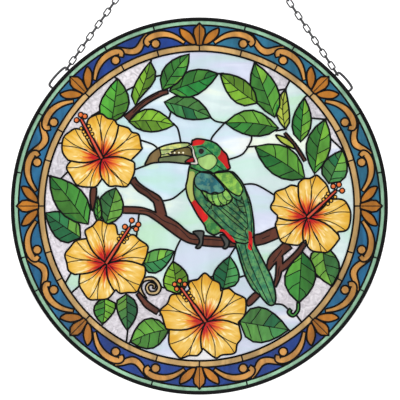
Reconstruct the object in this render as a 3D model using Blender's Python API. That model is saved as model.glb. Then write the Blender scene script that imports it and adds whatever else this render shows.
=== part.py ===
"""Round hanging stained glass panel: a bird on a branch, four hibiscus flowers, leaves and a scroll border.

Metres, +Z up. The origin is the bearing point of the hanging ring, and the panel's front faces -Y.
The picture is laid out in millimetres from the disc's centre, x to the right and z up.
Each motif is an outline from a few marks. The outlines split the disc into cells, each cell is one
pane of glass, and the lead fills the strips between the panes.
"""

import math

import bmesh
import bpy
from mathutils import Vector
from mathutils.geometry import delaunay_2d_cdt

MM = 0.001

# Driving sizes of the disc, millimetres. A pitch runs from one lead line's middle to the next
DISC_RADIUS = 150.0
RIM_WIDTH = 2.7
GREEN_RING_PITCH = 3.45
BAND_PITCH = 15.5
GOLD_RING_PITCH = 5.2
LAYOUT_RADIUS = 123.15
PALMETTE_PROUD = 1.15
PALMETTE_HALF = 4.8
BAND_OUTER_RADIUS = DISC_RADIUS - RIM_WIDTH - GREEN_RING_PITCH
BAND_INNER_RADIUS = BAND_OUTER_RADIUS - BAND_PITCH
PICTURE_LINE_RADIUS = BAND_INNER_RADIUS - GOLD_RING_PITCH
PALMETTE_TIP_RADIUS = BAND_OUTER_RADIUS + PALMETTE_PROUD
PALMETTE_FOOT_RADIUS = BAND_INNER_RADIUS - 0.45
PICTURE_SCALE = PICTURE_LINE_RADIUS / LAYOUT_RADIUS
RIM_DEPTH = 6.0
GLASS_THICKNESS = 3.0
LEAD_DEPTH = 4.4
LEAD_HALF = 0.85
GAP = 0.3
CIRCLE_SIDES = 40
TRACE_TOLERANCE = 1.5
CLEAR_TOLERANCE = 2.2
CURVE_STEPS = 2
SMALLEST_OPENING = 40.0

# The hanging parts, millimetres
PANEL_DROP = 271.0
PANEL_SHIFT = -4.5
RING_INNER_RADIUS = 7.0
RING_WIRE = 2.2
BAIL_WIRE = 2.0
BAIL_STAND = 4.2
BAIL_BEND = 1.2
BAIL_BOW = 0.4
CHAIN_LINKS = 31
CHAIN_WIRE = 1.2
LINK_WIDTH = 5.0
LINK_OVERLAP = 0.15
LINK_FLAT = CHAIN_WIRE * 0.3125
LINK_CLEARANCE = 0.3

# Border palmettes, one at every eighth of the turn: shares of the half width and of the height
PALMETTES = 8
PALMETTE_SIDE = [(0.9, 0.74), (1.0, 0.53), (0.7, 0.24)]
PALMETTE_FOOT = 0.45

# Leaves: base, tip, widest mark on the left and on the right, looking from base to tip
LEAVES = {
    "leaf_upper_left": [((-70, 66), (-65, 101.5), (-79.5, 79), (-56, 81))],
    "leaf_top_left": [((-51, 80), (-39, 115), (-52.8, 93), (-35.2, 101))],
    "leaf_group_top": [
        ((-29.5, 92), (-8, 121), (-27.5, 110.5), (-13.5, 102)),
        ((-24, 91.5), (15, 105.3), (-7.5, 107.5), (-4.5, 87.5)),
        ((-28, 82.7), (9.5, 70.5), (-7, 87.3), (-14, 70.2)),
    ],
    "leaf_above_beak": [((-56, 67), (-20, 64.5), (-39, 77.2), (-40, 59))],
    "leaf_pair_top_right": [
        ((46, 82), (16.5, 105.5), (28, 83.3), (37.5, 99)),
        ((60, 70.5), (43.8, 114), (42, 89), (62.5, 93)),
    ],
    "leaf_right_of_crown": [((63, 62), (20.5, 66), (43, 55.6), (42, 76.3))],
    "leaf_upper_right_yellow": [((68.5, 61), (68.5, 93), (60.7, 77), (71.8, 70))],
    "leaf_upper_right": [((80.5, 51), (83.5, 86), (73.8, 66), (89, 66))],
    "leaf_pair_right": [
        ((91.5, 25.5), (100, 69), (85.2, 50), (104, 45.5)),
        ((103, 18), (114, 44.5), (98, 32.5), (116.7, 24.5)),
    ],
    "leaf_right_of_wing": [((84, 22), (44, 47.3), (60, 24.7), (72, 45.6))],
    "leaf_pair_left": [
        ((-88.5, -14.5), (-119, 24), (-111.5, -3.5), (-92, 10.2)),
        ((-94.5, -25), (-122.5, -5.5), (-111.5, -27), (-101, -7.5)),
    ],
    "leaf_pair_under_flower": [
        ((-80, -14), (-80.5, 8), (-84, -3), (-77.7, -5)),
        ((-74.5, -15), (-66.5, 14.5), (-79.7, 4), (-60.7, -4)),
    ],
    "leaf_under_branch": [((-48, -45.5), (-20, -36), (-37, -35.3), (-34, -53))],
    "leaf_above_low_flower": [((-17, -70), (-21, -44), (-28.5, -62), (-9, -57))],
    "leaf_left_of_tail": [((19, -66), (24.2, -40), (11, -55), (31.5, -58))],
    "leaf_pair_low_left": [
        ((-75.5, -73), (-77, -94), (-66.5, -80), (-84, -82)),
        ((-58, -70), (-57.5, -99), (-49.3, -82), (-66, -79)),
    ],
    "leaf_bottom_left": [((-24, -98), (-55, -108), (-37, -113), (-42, -89.7))],
    "leaf_bottom_right": [((32, -92), (71, -98.5), (49, -80.5), (45, -108.5))],
    "leaf_pair_low_right": [
        ((81.5, -36), (79, -77), (92.6, -56), (67.7, -58)),
        ((98, -30), (106, -64), (111.2, -46), (88, -46)),
    ],
}

# Hibiscus flowers: the rim marks of the five petals, clockwise from joint to joint
FLOWERS = {
    "flower_upper_left": [
        [(-89.5, 65), (-88, 69.5), (-82.5, 72.5), (-77.5, 73.2), (-73, 69.8), (-68, 68.7), (-65.5, 65)],
        [(-63, 64), (-56.5, 62), (-53.5, 58.7), (-48.3, 56.8), (-46.3, 48), (-46, 45), (-54, 36.8)],
        [(-51.5, 34), (-52, 26), (-56.5, 16.8), (-60, 15.3), (-66, 16), (-72, 16), (-77, 21.5)],
        [(-78, 21), (-82, 15.8), (-87, 15), (-97, 16.5), (-102, 23.5), (-105.7, 30.5), (-102, 36)],
        [(-104.5, 36.5), (-108.5, 42), (-109.3, 48), (-107.8, 55), (-103, 59.2), (-99, 61.5), (-95, 61)],
    ],
    "flower_lower_left": [
        [(-89.5, -25.5), (-90.8, -19.5), (-85, -15.7), (-81, -11.3), (-77, -11.8), (-73, -14), (-67, -14.8),
         (-65, -22.5)],
        [(-57, -23.5), (-52, -23), (-47.5, -27), (-41.3, -31.5), (-41.5, -37), (-43, -42), (-45, -46)],
        [(-43, -49), (-43.3, -55), (-47, -63), (-50, -68.4), (-57, -68.8), (-63, -69.4), (-66.5, -66.5)],
        [(-68.5, -69), (-73, -73.6), (-81, -74.5), (-88, -74), (-93, -67.5), (-95.7, -62), (-95, -54)],
        [(-99, -54.5), (-104, -51.5), (-105.5, -45), (-107, -38.5), (-103, -33), (-98, -27.5), (-90, -26)],
    ],
    "flower_bottom": [
        [(-7.5, -66), (-8.7, -62.5), (-6.5, -59.5), (-1.5, -58.5), (2.5, -54.3), (5.5, -53.8), (10.5, -58.5),
         (16, -61.5), (17, -67.5)],
        [(20, -66), (24, -65.8), (28.5, -69.5), (35, -72.5), (37, -75.5), (36.3, -86), (31, -92.5)],
        [(32, -97), (33.3, -105), (30, -110), (28, -117), (18, -118.5), (12.5, -120.7), (3, -113.3)],
        [(1, -116.5), (-2, -119), (-8, -119), (-14.5, -121), (-18.5, -118), (-24, -110), (-24, -99)],
        [(-27, -97), (-29.5, -88), (-31.2, -83), (-25.5, -77.5), (-23, -71.5), (-19, -70), (-13, -70.3)],
    ],
    "flower_right": [
        [(79.5, 19), (83, 21.7), (88, 22), (93, 24.5), (97, 21.5), (101.5, 16.5), (103.7, 10)],
        [(106, 5.5), (113, 5.3), (117, 2.5), (120.3, -5), (119.5, -15), (116.5, -19.5), (110, -20.5)],
        [(111.5, -26), (107, -32), (102, -36.7), (97, -36.8), (90, -35.7), (86, -32), (84.5, -27)],
        [(81, -29.5), (78, -31.2), (68, -29.7), (64, -26.5), (61, -17), (60.5, -14.5), (62, -11)],
        [(62, -7.3), (57.5, -3), (57, 0.5), (59.5, 5), (60.5, 11), (68, 14), (73, 16.5), (78, 15.5)],
    ],
}

# The bird, each part in front of the ones after it
BIRD = {
    "bird_beak": [(-43, 32.5), (-41.5, 37), (-38, 42.3), (-30, 47.3), (-20, 49.8), (-12, 50.4), (-7, 49.3),
                  (-4.3, 45), (-3.5, 41), (-1.5, 36), (-2, 33), (-12, 33.8), (-24, 34.9), (-36, 34.4)],
    "bird_head": [(-6, 50.5), (-4.5, 52.5), (-1, 53.5), (8, 52), (14, 49.2), (19, 43.8), (22, 40.5), (23.5, 34),
                  (24.3, 30), (20, 28), (15, 27.5), (11, 26), (8, 27.5), (1, 27.5), (-7, 31), (-7, 34)],
    "bird_wing": [(-4.5, 20), (-3, 24), (1, 27), (9, 26), (16, 26.8), (24, 27.5), (28, 26), (33.5, 19.5),
                  (37, 12.5), (40.5, 3), (42.5, -8), (43.2, -14), (43, -24), (37.5, -29.5), (33, -29.5),
                  (28, -27.5), (18, -18), (8, -8), (-1.5, 3), (-4, 8), (-4.7, 14)],
    "bird_breast": [(-7, 33), (-9.5, 21), (-10.7, 15), (-9, 7), (-6, 1), (-1, -8), (4, -15), (6, -20),
                    (12, -23), (18, -21), (24, -27.5), (29, -29.5), (33, -22), (10, 5), (0, 30)],
    "bird_tail": [(29, -28), (31, -38), (34, -48), (37, -56.5), (42, -65.5), (48, -71), (55, -78.5),
                  (60, -77.5), (60.5, -69), (57, -56), (51, -44), (44, -30), (43, -22), (36, -20)],
}

# Branches: centre-line marks with the half width there
BRANCHES = {
    "branch_main": [
        [(-61, -3, 2.6), (-48, -3.5, 2.6), (-41, -5, 2.3), (-35, -8, 2.8), (-28, -11.5, 4), (-20, -17, 4.5),
         (-13, -22.5, 4), (-6, -26, 3.8), (8, -28, 4), (22, -29, 3.5), (31, -29, 3.2)],
        [(-53.5, 21.5, 2.8), (-51, 18, 2.5), (-47, 14, 2.8), (-41.5, 10.5, 2.7), (-37, 7.5, 3.1),
         (-33, 3.5, 3.5), (-30, -8, 4)],
    ],
    "branch_by_tail": [[(42, -27.7, 4.2), (50, -26, 4.3), (56, -23.5, 4.5), (63, -20.5, 4.5)]],
    "branch_lower_right": [
        [(71, -30.5, 4), (66, -35, 3.5), (61, -39.5, 3.5), (57.5, -44, 3.2), (54.5, -51, 1.2)],
        [(64, -40, 2.4), (63.5, -48, 2.5), (62.5, -56, 2), (60, -64, 1.2)],
        [(84, -29.5, 1.8), (78.5, -37, 2), (73.5, -42, 2), (68, -47.5, 2.4), (63, -52, 1.5)],
    ],
    "branch_upper_left": [[(-58, 69.5, 3), (-53, 74.5, 2.2), (-43.5, 82.5, 2.1), (-32, 89, 2), (-25, 91, 1.5)]],
}

# Bails: where each wire loop stands on the rim, degrees, the chain's end first
BAILS = {"left": (133.9, 141.2), "right": (43.9, 37.6)}

# The clear panes that are solids of their own; the other clear cells stay open in the lead
CLEAR_PANES = 2


# Outlines
def rounded(marks, closed):
    """Catmull-Rom curve through the marks."""
    count = len(marks)
    spans = count if closed else count - 1
    points = []
    for i in range(spans):
        if closed:
            quad = [marks[(i + k) % count] for k in (-1, 0, 1, 2)]
        else:
            quad = [marks[min(max(i + k, 0), count - 1)] for k in (-1, 0, 1, 2)]
        for step in range(CURVE_STEPS):
            t = step / CURVE_STEPS
            weights = (
                -0.5 * t + t * t - 0.5 * t ** 3,
                1 - 2.5 * t * t + 1.5 * t ** 3,
                0.5 * t + 2 * t * t - 1.5 * t ** 3,
                -0.5 * t * t + 0.5 * t ** 3,
            )
            points.append(tuple(sum(w * q[axis] for w, q in zip(weights, quad)) for axis in range(len(marks[0]))))
    if not closed:
        points.append(tuple(marks[-1]))
    return points


def leaf_side(base, tip, widest, steps=6):
    """One edge of a leaf from base to tip, furthest out at the widest mark."""
    ax, az = tip[0] - base[0], tip[1] - base[1]
    length = math.hypot(ax, az)
    ux, uz = ax / length, az / length
    wx, wz = widest[0] - base[0], widest[1] - base[1]
    along = min(max((wx * ux + wz * uz) / length, 0.15), 0.85)
    offset = -wx * uz + wz * ux
    power = math.log(0.5) / math.log(along)
    points = []
    for i in range(1, steps):
        t = i / steps
        out = offset * math.sin(math.pi * t ** power) ** 0.85
        points.append((base[0] + ax * t - uz * out, base[1] + az * t + ux * out))
    return points


def leaf(base, tip, left, right):
    return [base] + leaf_side(base, tip, right) + [tip] + leaf_side(base, tip, left)[::-1]


def ribbon(marks):
    """Closed strip along centre-line marks (x, z, half width)."""
    path = rounded(marks, closed=False)
    left, right = [], []
    for i, (x, z, half) in enumerate(path):
        px, pz = path[max(i - 1, 0)][:2]
        nx, nz = path[min(i + 1, len(path) - 1)][:2]
        length = math.hypot(nx - px, nz - pz)
        ux, uz = (nx - px) / length, (nz - pz) / length
        left.append((x - uz * half, z + ux * half))
        right.append((x + uz * half, z - ux * half))
    return right + left[::-1]


def scaled(marks):
    """Layout marks brought to the picture's size."""
    return [(x * PICTURE_SCALE, z * PICTURE_SCALE) for x, z in marks]


def polar(degrees, radius):
    angle = math.radians(degrees)
    return (radius * math.cos(angle), radius * math.sin(angle))


def circle(radius):
    return [polar(360.0 * i / CIRCLE_SIDES, radius) for i in range(CIRCLE_SIDES)]


def palmette(degrees):
    """Outline of one palmette, from its foot up one side, over the tip and down the other."""
    height = PALMETTE_TIP_RADIUS - PALMETTE_FOOT_RADIUS

    def mark(half, share):
        radius = PALMETTE_FOOT_RADIUS + height * share
        return polar(degrees + math.degrees(half * PALMETTE_HALF / radius), radius)

    shoulders = [(PALMETTE_FOOT, 0.0)] + PALMETTE_SIDE[::-1]
    right = [mark(-half, share) for half, share in shoulders]
    left = [mark(half, share) for half, share in shoulders]
    return right + [polar(degrees, PALMETTE_TIP_RADIUS)] + left[::-1]


# Plane geometry on loops of (x, z)
def area(loop):
    return 0.5 * sum(a[0] * b[1] - b[0] * a[1] for a, b in zip(loop, loop[1:] + loop[:1]))


def winding(point, loop):
    """Turns of the loop about the point."""
    x, z = point
    turns = 0
    ax, az = loop[-1]
    for bx, bz in loop:
        if (az <= z) != (bz <= z):
            cross = (bx - ax) * (z - az) - (x - ax) * (bz - az)
            if az <= z and cross > 0:
                turns += 1
            elif bz <= z and cross < 0:
                turns -= 1
        ax, az = bx, bz
    return turns


def triangulate(loops):
    """Triangles of the plane with every loop's edges in it: points and triangles."""
    points, edges = [], []
    for loop in loops:
        first = len(points)
        points += [Vector(p) for p in loop]
        edges += [(first + i, first + (i + 1) % len(loop)) for i in range(len(loop))]
    verts, _, faces = delaunay_2d_cdt(points, edges, [], 0, 1e-4)[:3]
    verts = [tuple(v) for v in verts]
    triangles = []
    for face in faces:
        corners = [verts[i] for i in face]
        triangles.append(tuple(face) if area(corners) > 0 else tuple(face[::-1]))
    return verts, triangles


def centroid(verts, triangle):
    return tuple(sum(verts[i][axis] for i in triangle) / 3 for axis in (0, 1))


def pieces(verts, triangles, chosen, walls=frozenset()):
    """The connected groups of the chosen triangles, largest first."""
    owner = {}
    for t in chosen:
        for a, b in zip(triangles[t], triangles[t][1:] + triangles[t][:1]):
            owner.setdefault(frozenset((a, b)), []).append(t)
    joined = {t: [] for t in chosen}
    for edge, members in owner.items():
        if len(members) == 2 and edge not in walls:
            joined[members[0]].append(members[1])
            joined[members[1]].append(members[0])
    left, groups = set(chosen), []
    while left:
        stack, group = [left.pop()], []
        while stack:
            t = stack.pop()
            group.append(t)
            for other in joined[t]:
                if other in left:
                    left.discard(other)
                    stack.append(other)
        groups.append(group)
    return sorted(groups, key=lambda g: -sum(area([verts[i] for i in triangles[t]]) for t in g))


def edge_loops(verts, triangles, group):
    """The boundary loops of a group of triangles, the inside on their left."""
    arcs = set()
    for t in group:
        for a, b in zip(triangles[t], triangles[t][1:] + triangles[t][:1]):
            if (b, a) in arcs:
                arcs.discard((b, a))
            else:
                arcs.add((a, b))
    after = {}
    for a, b in arcs:
        after.setdefault(a, []).append(b)
    loops = []
    while after:
        start = next(iter(after))
        loop, here, before = [], start, None
        while True:
            choices = after[here]
            if before is None or len(choices) == 1:
                following = choices[0]
            else:
                following = min(choices, key=lambda c: left_turn(verts, before, here, c))
            choices.remove(following)
            if not choices:
                del after[here]
            loop.append(verts[here])
            before, here = here, following
            if here == start and (start not in after or len(loop) > 2):
                break
        loops.append(loop)
    return loops


def left_turn(verts, a, b, c):
    """How far right the path a, b, c turns; the smallest is the sharpest left turn."""
    ux, uz = verts[b][0] - verts[a][0], verts[b][1] - verts[a][1]
    wx, wz = verts[c][0] - verts[b][0], verts[c][1] - verts[b][1]
    return -math.atan2(ux * wz - uz * wx, ux * wx + uz * wz)


def plainer(loop, tolerance):
    """The loop with the marks dropped that lie within the tolerance of the line through the others."""
    far = max(range(len(loop)), key=lambda i: math.dist(loop[0], loop[i]))
    halves = [loop[: far + 1], loop[far:] + loop[:1]]
    kept = []
    for half in halves:
        kept += thinned(half, tolerance)[:-1]
    return kept


def thinned(path, tolerance):
    if len(path) < 3:
        return path
    (ax, az), (bx, bz) = path[0], path[-1]
    length = math.hypot(bx - ax, bz - az) or 1e-9
    gaps = [abs((bx - ax) * (z - az) - (x - ax) * (bz - az)) / length for x, z in path[1:-1]]
    worst = max(range(len(gaps)), key=lambda i: gaps[i])
    if gaps[worst] <= tolerance:
        return [path[0], path[-1]]
    return thinned(path[: worst + 2], tolerance)[:-1] + thinned(path[worst + 1 :], tolerance)


def shifted(loop, distance):
    """The loop with every edge moved to its left by the distance."""
    moved = []
    count = len(loop)
    for i, (x, z) in enumerate(loop):
        px, pz = loop[i - 1]
        nx, nz = loop[(i + 1) % count]
        back, ahead = math.hypot(x - px, z - pz), math.hypot(nx - x, nz - z)
        if back < 1e-6 or ahead < 1e-6:
            continue
        u, w = ((x - px) / back, (z - pz) / back), ((nx - x) / ahead, (nz - z) / ahead)
        bend = u[0] * w[0] + u[1] * w[1]
        turn = u[0] * w[1] - u[1] * w[0]
        if turn < 0 and bend < 0.3:
            moved.append((x - u[1] * distance, z + u[0] * distance))
            moved.append((x - w[1] * distance, z + w[0] * distance))
        else:
            reach = distance / max(1 + bend, 0.06)
            moved.append((x - (u[1] + w[1]) * reach, z + (u[0] + w[0]) * reach))
    return moved


def inset(loops, distance):
    """The region of the loops less a margin: points, triangles and its connected groups, or None."""
    moved = [shifted(loop, distance) for loop in loops]
    verts, triangles = triangulate(moved)
    inside = []
    for t, triangle in enumerate(triangles):
        middle = centroid(verts, triangle)
        if sum(winding(middle, loop) for loop in moved) >= 1 and area([verts[i] for i in triangle]) > 1e-4:
            inside.append(t)
    if not inside:
        return None
    return verts, triangles, pieces(verts, triangles, inside)


# Solids
def slab(name, verts, triangles, group, depth, colour):
    """Extrudes the triangles through the panel's middle plane."""
    used = sorted({i for t in group for i in triangles[t]})
    index = {v: k for k, v in enumerate(used)}
    half = depth / 2
    count = len(used)
    corners = [(verts[i][0], -half, verts[i][1]) for i in used] + [(verts[i][0], half, verts[i][1]) for i in used]
    faces, arcs = [], set()
    for t in group:
        a, b, c = (index[i] for i in triangles[t])
        faces += [(a, b, c), (c + count, b + count, a + count)]
        for edge in ((a, b), (b, c), (c, a)):
            if (edge[1], edge[0]) in arcs:
                arcs.discard((edge[1], edge[0]))
            else:
                arcs.add(edge)
    faces += [(b, a, a + count, b + count) for a, b in sorted(arcs)]
    return solid(name, corners, faces, colour, PANEL_SHIFT, -PANEL_DROP)


def solid(name, corners, faces, colour, shift=0.0, lift=0.0):
    mesh = bpy.data.meshes.new(name)
    mesh.from_pydata([((x + shift) * MM, y * MM, (z + lift) * MM) for x, y, z in corners], [], faces)
    made = bmesh.new()
    made.from_mesh(mesh)
    bmesh.ops.recalc_face_normals(made, faces=made.faces)
    made.to_mesh(mesh)
    made.free()
    material = bpy.data.materials.get(colour) or bpy.data.materials.new(colour)
    material.diffuse_color = COLOURS[colour]
    mesh.materials.append(material)
    obj = bpy.data.objects.new(name, mesh)
    bpy.context.scene.collection.objects.link(obj)
    return obj


COLOURS = {
    "lead": (0.05, 0.05, 0.055, 1),
    "blue_glass": (0.05, 0.16, 0.5, 1),
    "amber_glass": (0.7, 0.4, 0.05, 1),
    "green_glass": (0.1, 0.4, 0.12, 1),
    "pale_green_glass": (0.5, 0.75, 0.5, 1),
    "yellow_glass": (0.9, 0.62, 0.12, 1),
    "red_glass": (0.7, 0.05, 0.04, 1),
    "brown_glass": (0.25, 0.09, 0.05, 1),
    "clear_glass": (0.7, 0.8, 0.85, 1),
}


def ring_slab(name, inner, outer, depth, colour):
    return slab(name, *largest(inset([circle(outer), circle(inner)[::-1]], 0.0)), depth, colour)


def tube(path, radius, sides, closed, plane_normal):
    """Corners and faces of a wire along a path in a plane, its flat side towards the path's left."""
    corners, faces = [], []
    count = len(path)
    for i, here in enumerate(path):
        before = path[i - 1] if closed or i else here
        after = path[(i + 1) % count] if closed or i < count - 1 else here
        back, ahead = (here - before), (after - here)
        back = back.normalized() if back.length else ahead.normalized()
        ahead = ahead.normalized() if ahead.length else back
        along = (back + ahead).normalized()
        left = plane_normal.cross(along).normalized()
        stretch = 1 / max(along.dot(ahead), 0.3)
        for k in range(sides):
            angle = math.pi / sides + 2 * math.pi * k / sides
            corners.append(
                here + left * (radius * math.cos(angle) * stretch) + plane_normal * (radius * math.sin(angle))
            )
    rows = count if closed else count - 1
    for i in range(rows):
        for k in range(sides):
            a, b = i * sides + k, i * sides + (k + 1) % sides
            c, d = (i + 1) % count * sides + (k + 1) % sides, (i + 1) % count * sides + k
            faces.append((a, b, c, d))
    if not closed:
        faces.append(tuple(range(sides))[::-1])
        faces.append(tuple((count - 1) * sides + k for k in range(sides)))
    return corners, faces


# The panel's glass and lead
def colour_of(name):
    for start, colour in (
        ("leaf_upper_right_yellow", "yellow_glass"), ("leaf", "green_glass"), ("flower", "yellow_glass"),
        ("bird_breast", "red_glass"), ("bird", "green_glass"), ("branch", "brown_glass"),
        ("palmette", "amber_glass"), ("border", "blue_glass"), ("green", "pale_green_glass"),
    ):
        if name.startswith(start):
            return colour
    return "clear_glass"


def largest(region):
    verts, triangles, groups = region
    return verts, triangles, groups[0]


def openings_in(loops, tolerance=TRACE_TOLERANCE):
    """The openings that a cell leaves between its lead lines, as lists of loops, largest first."""
    region = inset([plainer(loop, tolerance) for loop in loops if abs(area(loop)) > 4], LEAD_HALF)
    if region is None:
        return []
    verts, triangles, groups = region
    found = [edge_loops(verts, triangles, group) for group in groups]
    return [edges for edges in found if max(area(loop) for loop in edges) > SMALLEST_OPENING]


def pane(name, opening):
    """The glass of one opening."""
    slab(name, *largest(inset(opening, GAP)), GLASS_THICKNESS, colour_of(name))


def lead_web(name, outer, inner, openings):
    """The lead between the openings, inside the outer loop and outside the inner one."""
    loops = [outer] + ([inner] if inner else []) + [loop for opening in openings for loop in opening]
    verts, triangles = triangulate(loops)
    inside = []
    for t, triangle in enumerate(triangles):
        middle = centroid(verts, triangle)
        if not winding(middle, outer) or (inner and winding(middle, inner)):
            continue
        if any(sum(winding(middle, loop) for loop in opening) >= 1 for opening in openings):
            continue
        if area([verts[i] for i in triangle]) > 1e-4:
            inside.append(t)
    slab(name, verts, triangles, pieces(verts, triangles, inside)[0], LEAD_DEPTH, "lead")


def picture_motifs():
    """Name and outlines of each motif, front ones first."""
    motifs = [(name, [rounded(marks, closed=True)]) for name, marks in BIRD.items()]
    motifs += [(name, [[mark for rim in rims for mark in rim]]) for name, rims in FLOWERS.items()]
    motifs += [(name, [ribbon(marks) for marks in strips]) for name, strips in BRANCHES.items()]
    motifs += [(name, [leaf(*marks) for marks in group]) for name, group in LEAVES.items()]
    return [(name, [scaled(loop) for loop in loops]) for name, loops in motifs]


def clock_name(loop, taken):
    """A name from where the pane lies on a clock face, inner or outer."""
    x = sum(p[0] for p in loop) / len(loop)
    z = sum(p[1] for p in loop) / len(loop)
    hour = round(math.degrees(math.atan2(x, z)) / 30) % 12 or 12
    ring = "outer" if math.hypot(x, z) > PICTURE_LINE_RADIUS / 2 else "inner"
    name = "clear_pane_%s_%d_oclock" % (ring, hour)
    return name if name not in taken else name + "_low"


def build_picture():
    motifs = picture_motifs()
    disc = circle(PICTURE_LINE_RADIUS)
    verts, triangles = triangulate([disc] + [loop for _, loops in motifs for loop in loops])
    owner = {}
    for t, triangle in enumerate(triangles):
        middle = centroid(verts, triangle)
        if not winding(middle, disc):
            continue
        for name, loops in motifs:
            if any(winding(middle, loop) for loop in loops):
                owner.setdefault(name, []).append(t)
                break
        else:
            owner.setdefault("clear", []).append(t)
    openings = []
    for name, _ in motifs:
        for order, group in enumerate(pieces(verts, triangles, owner[name])):
            found = openings_in(edge_loops(verts, triangles, group))
            if order == 0:
                pane(name, found[0])
            openings += found
    clear = []
    for group in pieces(verts, triangles, owner["clear"]):
        clear += openings_in(edge_loops(verts, triangles, group), CLEAR_TOLERANCE)
    clear.sort(key=lambda opening: -max(area(loop) for loop in opening))
    for opening in clear[:CLEAR_PANES]:
        pane(clock_name(opening[0], [obj.name for obj in bpy.data.objects]), opening)
    openings += clear
    ring = circle(PICTURE_LINE_RADIUS + LEAD_HALF - GAP / 2)
    lead_web("lead_lines_picture", ring, None, openings)


def build_border():
    outlines = {"palmette_%d_degrees" % (45 * i): palmette(45.0 * i) for i in range(PALMETTES)}
    band_in, band_out = circle(BAND_INNER_RADIUS), circle(BAND_OUTER_RADIUS)
    green_out = circle(DISC_RADIUS - RIM_WIDTH + LEAD_HALF)
    verts, triangles = triangulate([band_in, band_out, green_out] + list(outlines.values()))
    owner = {}
    for t, triangle in enumerate(triangles):
        middle = centroid(verts, triangle)
        name = next((name for name, loop in outlines.items() if winding(middle, loop)), None)
        if name is None and winding(middle, band_out) and not winding(middle, band_in):
            name = "border"
        elif name is None and winding(middle, green_out) and not winding(middle, band_out):
            name = "green_ring"
        if name:
            owner.setdefault(name, []).append(t)
    openings = []
    for name, chosen in owner.items():
        for group in pieces(verts, triangles, chosen):
            loops = edge_loops(verts, triangles, group)
            title = name
            if name == "border":
                x, z = centroid(verts, triangles[group[0]])
                turn = math.degrees(math.atan2(z, x)) % 360
                title = "border_pane_%d_to_%d_degrees" % (turn // 45 * 45, turn // 45 * 45 + 45)
            found = openings_in(loops)
            pane(title, found[0])
            openings += found
    outer = circle(PALMETTE_TIP_RADIUS + LEAD_HALF + GAP)
    inner = circle(BAND_INNER_RADIUS - LEAD_HALF + GAP / 2)
    lead_web("lead_lines_border", outer, inner, openings)
    gold_in, gold_out = PICTURE_LINE_RADIUS + LEAD_HALF + GAP / 2, BAND_INNER_RADIUS - LEAD_HALF - GAP / 2
    ring_slab("gold_ring", gold_in, gold_out, GLASS_THICKNESS, "amber_glass")
    ring_slab("frame_rim", DISC_RADIUS - RIM_WIDTH, DISC_RADIUS, RIM_DEPTH, "lead")


# The hanging parts
def panel_point(degrees, radius):
    x, z = polar(degrees, radius)
    return Vector((x + PANEL_SHIFT, 0, z - PANEL_DROP))


def build_bail(name, chain_end, far_end):
    """A wire loop on the rim, its ends a gap off the rim."""
    foot = DISC_RADIUS + GAP
    crown = DISC_RADIUS + BAIL_STAND
    span = far_end - chain_end
    shoulder = crown - BAIL_BEND
    marks = [(0, foot), (0, shoulder), (0.12, crown), (0.5, crown + BAIL_BOW), (0.88, crown), (1, shoulder), (1, foot)]
    path = [panel_point(chain_end + span * share, radius) for share, radius in marks]
    corners, faces = tube(path, BAIL_WIRE / 2, 6, False, Vector((0, 1, 0)))
    solid(name, [tuple(c) for c in corners], faces, "lead")


def ring_centre():
    return Vector((0, 0, -RING_INNER_RADIUS))


def build_ring():
    radius = RING_INNER_RADIUS + RING_WIRE / 2
    path = [
        ring_centre() + Vector((radius * math.cos(a), 0, radius * math.sin(a)))
        for a in (math.radians(30 * i) for i in range(12))
    ]
    corners, faces = tube(path, RING_WIRE / 2, 6, True, Vector((0, 1, 0)))
    solid("hang_ring", [tuple(c) for c in corners], faces, "lead")


def link(centre, along, side, length):
    """A four-cornered link, its wire flat on the inside."""
    long_half, wide_half = length / 2, LINK_WIDTH / 2 - CHAIN_WIRE / 2
    marks = [(-1, -1), (1, -1), (1, 1), (-1, 1)]
    path = [centre + along * (long_half * a) + side * (wide_half * b) for a, b in marks]
    return tube(path, 2 * LINK_FLAT, 3, True, along.cross(side).normalized())


def build_chain(name, bail_angle):
    """Links from the bail to the ring, every second one turned by a quarter, fused where they bear."""
    start = panel_point(bail_angle, DISC_RADIUS + BAIL_STAND / 2)
    reach = RING_INNER_RADIUS + RING_WIRE / 2
    along = (ring_centre() - start).normalized()
    end = ring_centre() - along * reach
    slack = 2 * LINK_CLEARANCE + (BAIL_WIRE + RING_WIRE) / 2
    pitch = ((end - start).length + LINK_OVERLAP + slack) / CHAIN_LINKS
    centre_length = pitch + 2 * LINK_FLAT - LINK_OVERLAP
    first = start + along * (centre_length / 2 - LINK_FLAT - LINK_CLEARANCE - BAIL_WIRE / 2)
    depth = Vector((0, 1, 0))
    across = along.cross(depth).normalized()
    halves = []
    for parity, side in ((0, depth), (1, across)):
        corners, faces = [], []
        for i in range(parity, CHAIN_LINKS, 2):
            more, quads = link(first + along * (pitch * i), along, side, centre_length)
            faces += [tuple(k + len(corners) for k in quad) for quad in quads]
            corners += [tuple(c) for c in more]
        halves.append(solid(name if parity == 0 else name + "_odd", corners, faces, "lead"))
    join = halves[0].modifiers.new("fuse", "BOOLEAN")
    join.operation = "UNION"
    join.solver = "EXACT"
    join.object = halves[1]
    shape = bpy.context.evaluated_depsgraph_get()
    fused = bpy.data.meshes.new_from_object(halves[0].evaluated_get(shape))
    halves[0].modifiers.clear()
    halves[0].data = fused
    bpy.data.objects.remove(halves[1])


def main():
    for obj in list(bpy.data.objects):
        bpy.data.objects.remove(obj)
    build_picture()
    build_border()
    build_ring()
    for side, (chain_end, far_end) in BAILS.items():
        build_bail("bail_" + side, chain_end, far_end)
        build_chain("chain_" + side, chain_end)


main()
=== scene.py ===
"""Scene of the round hanging stained glass panel, laid out as an add-on.

The picture is laid out in millimetres from the disc's centre, x to the right and z up, as in the CAD
part. Outlines and lines split the disc into facets of glass; lead beads run along the visible lines.
"""

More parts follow.
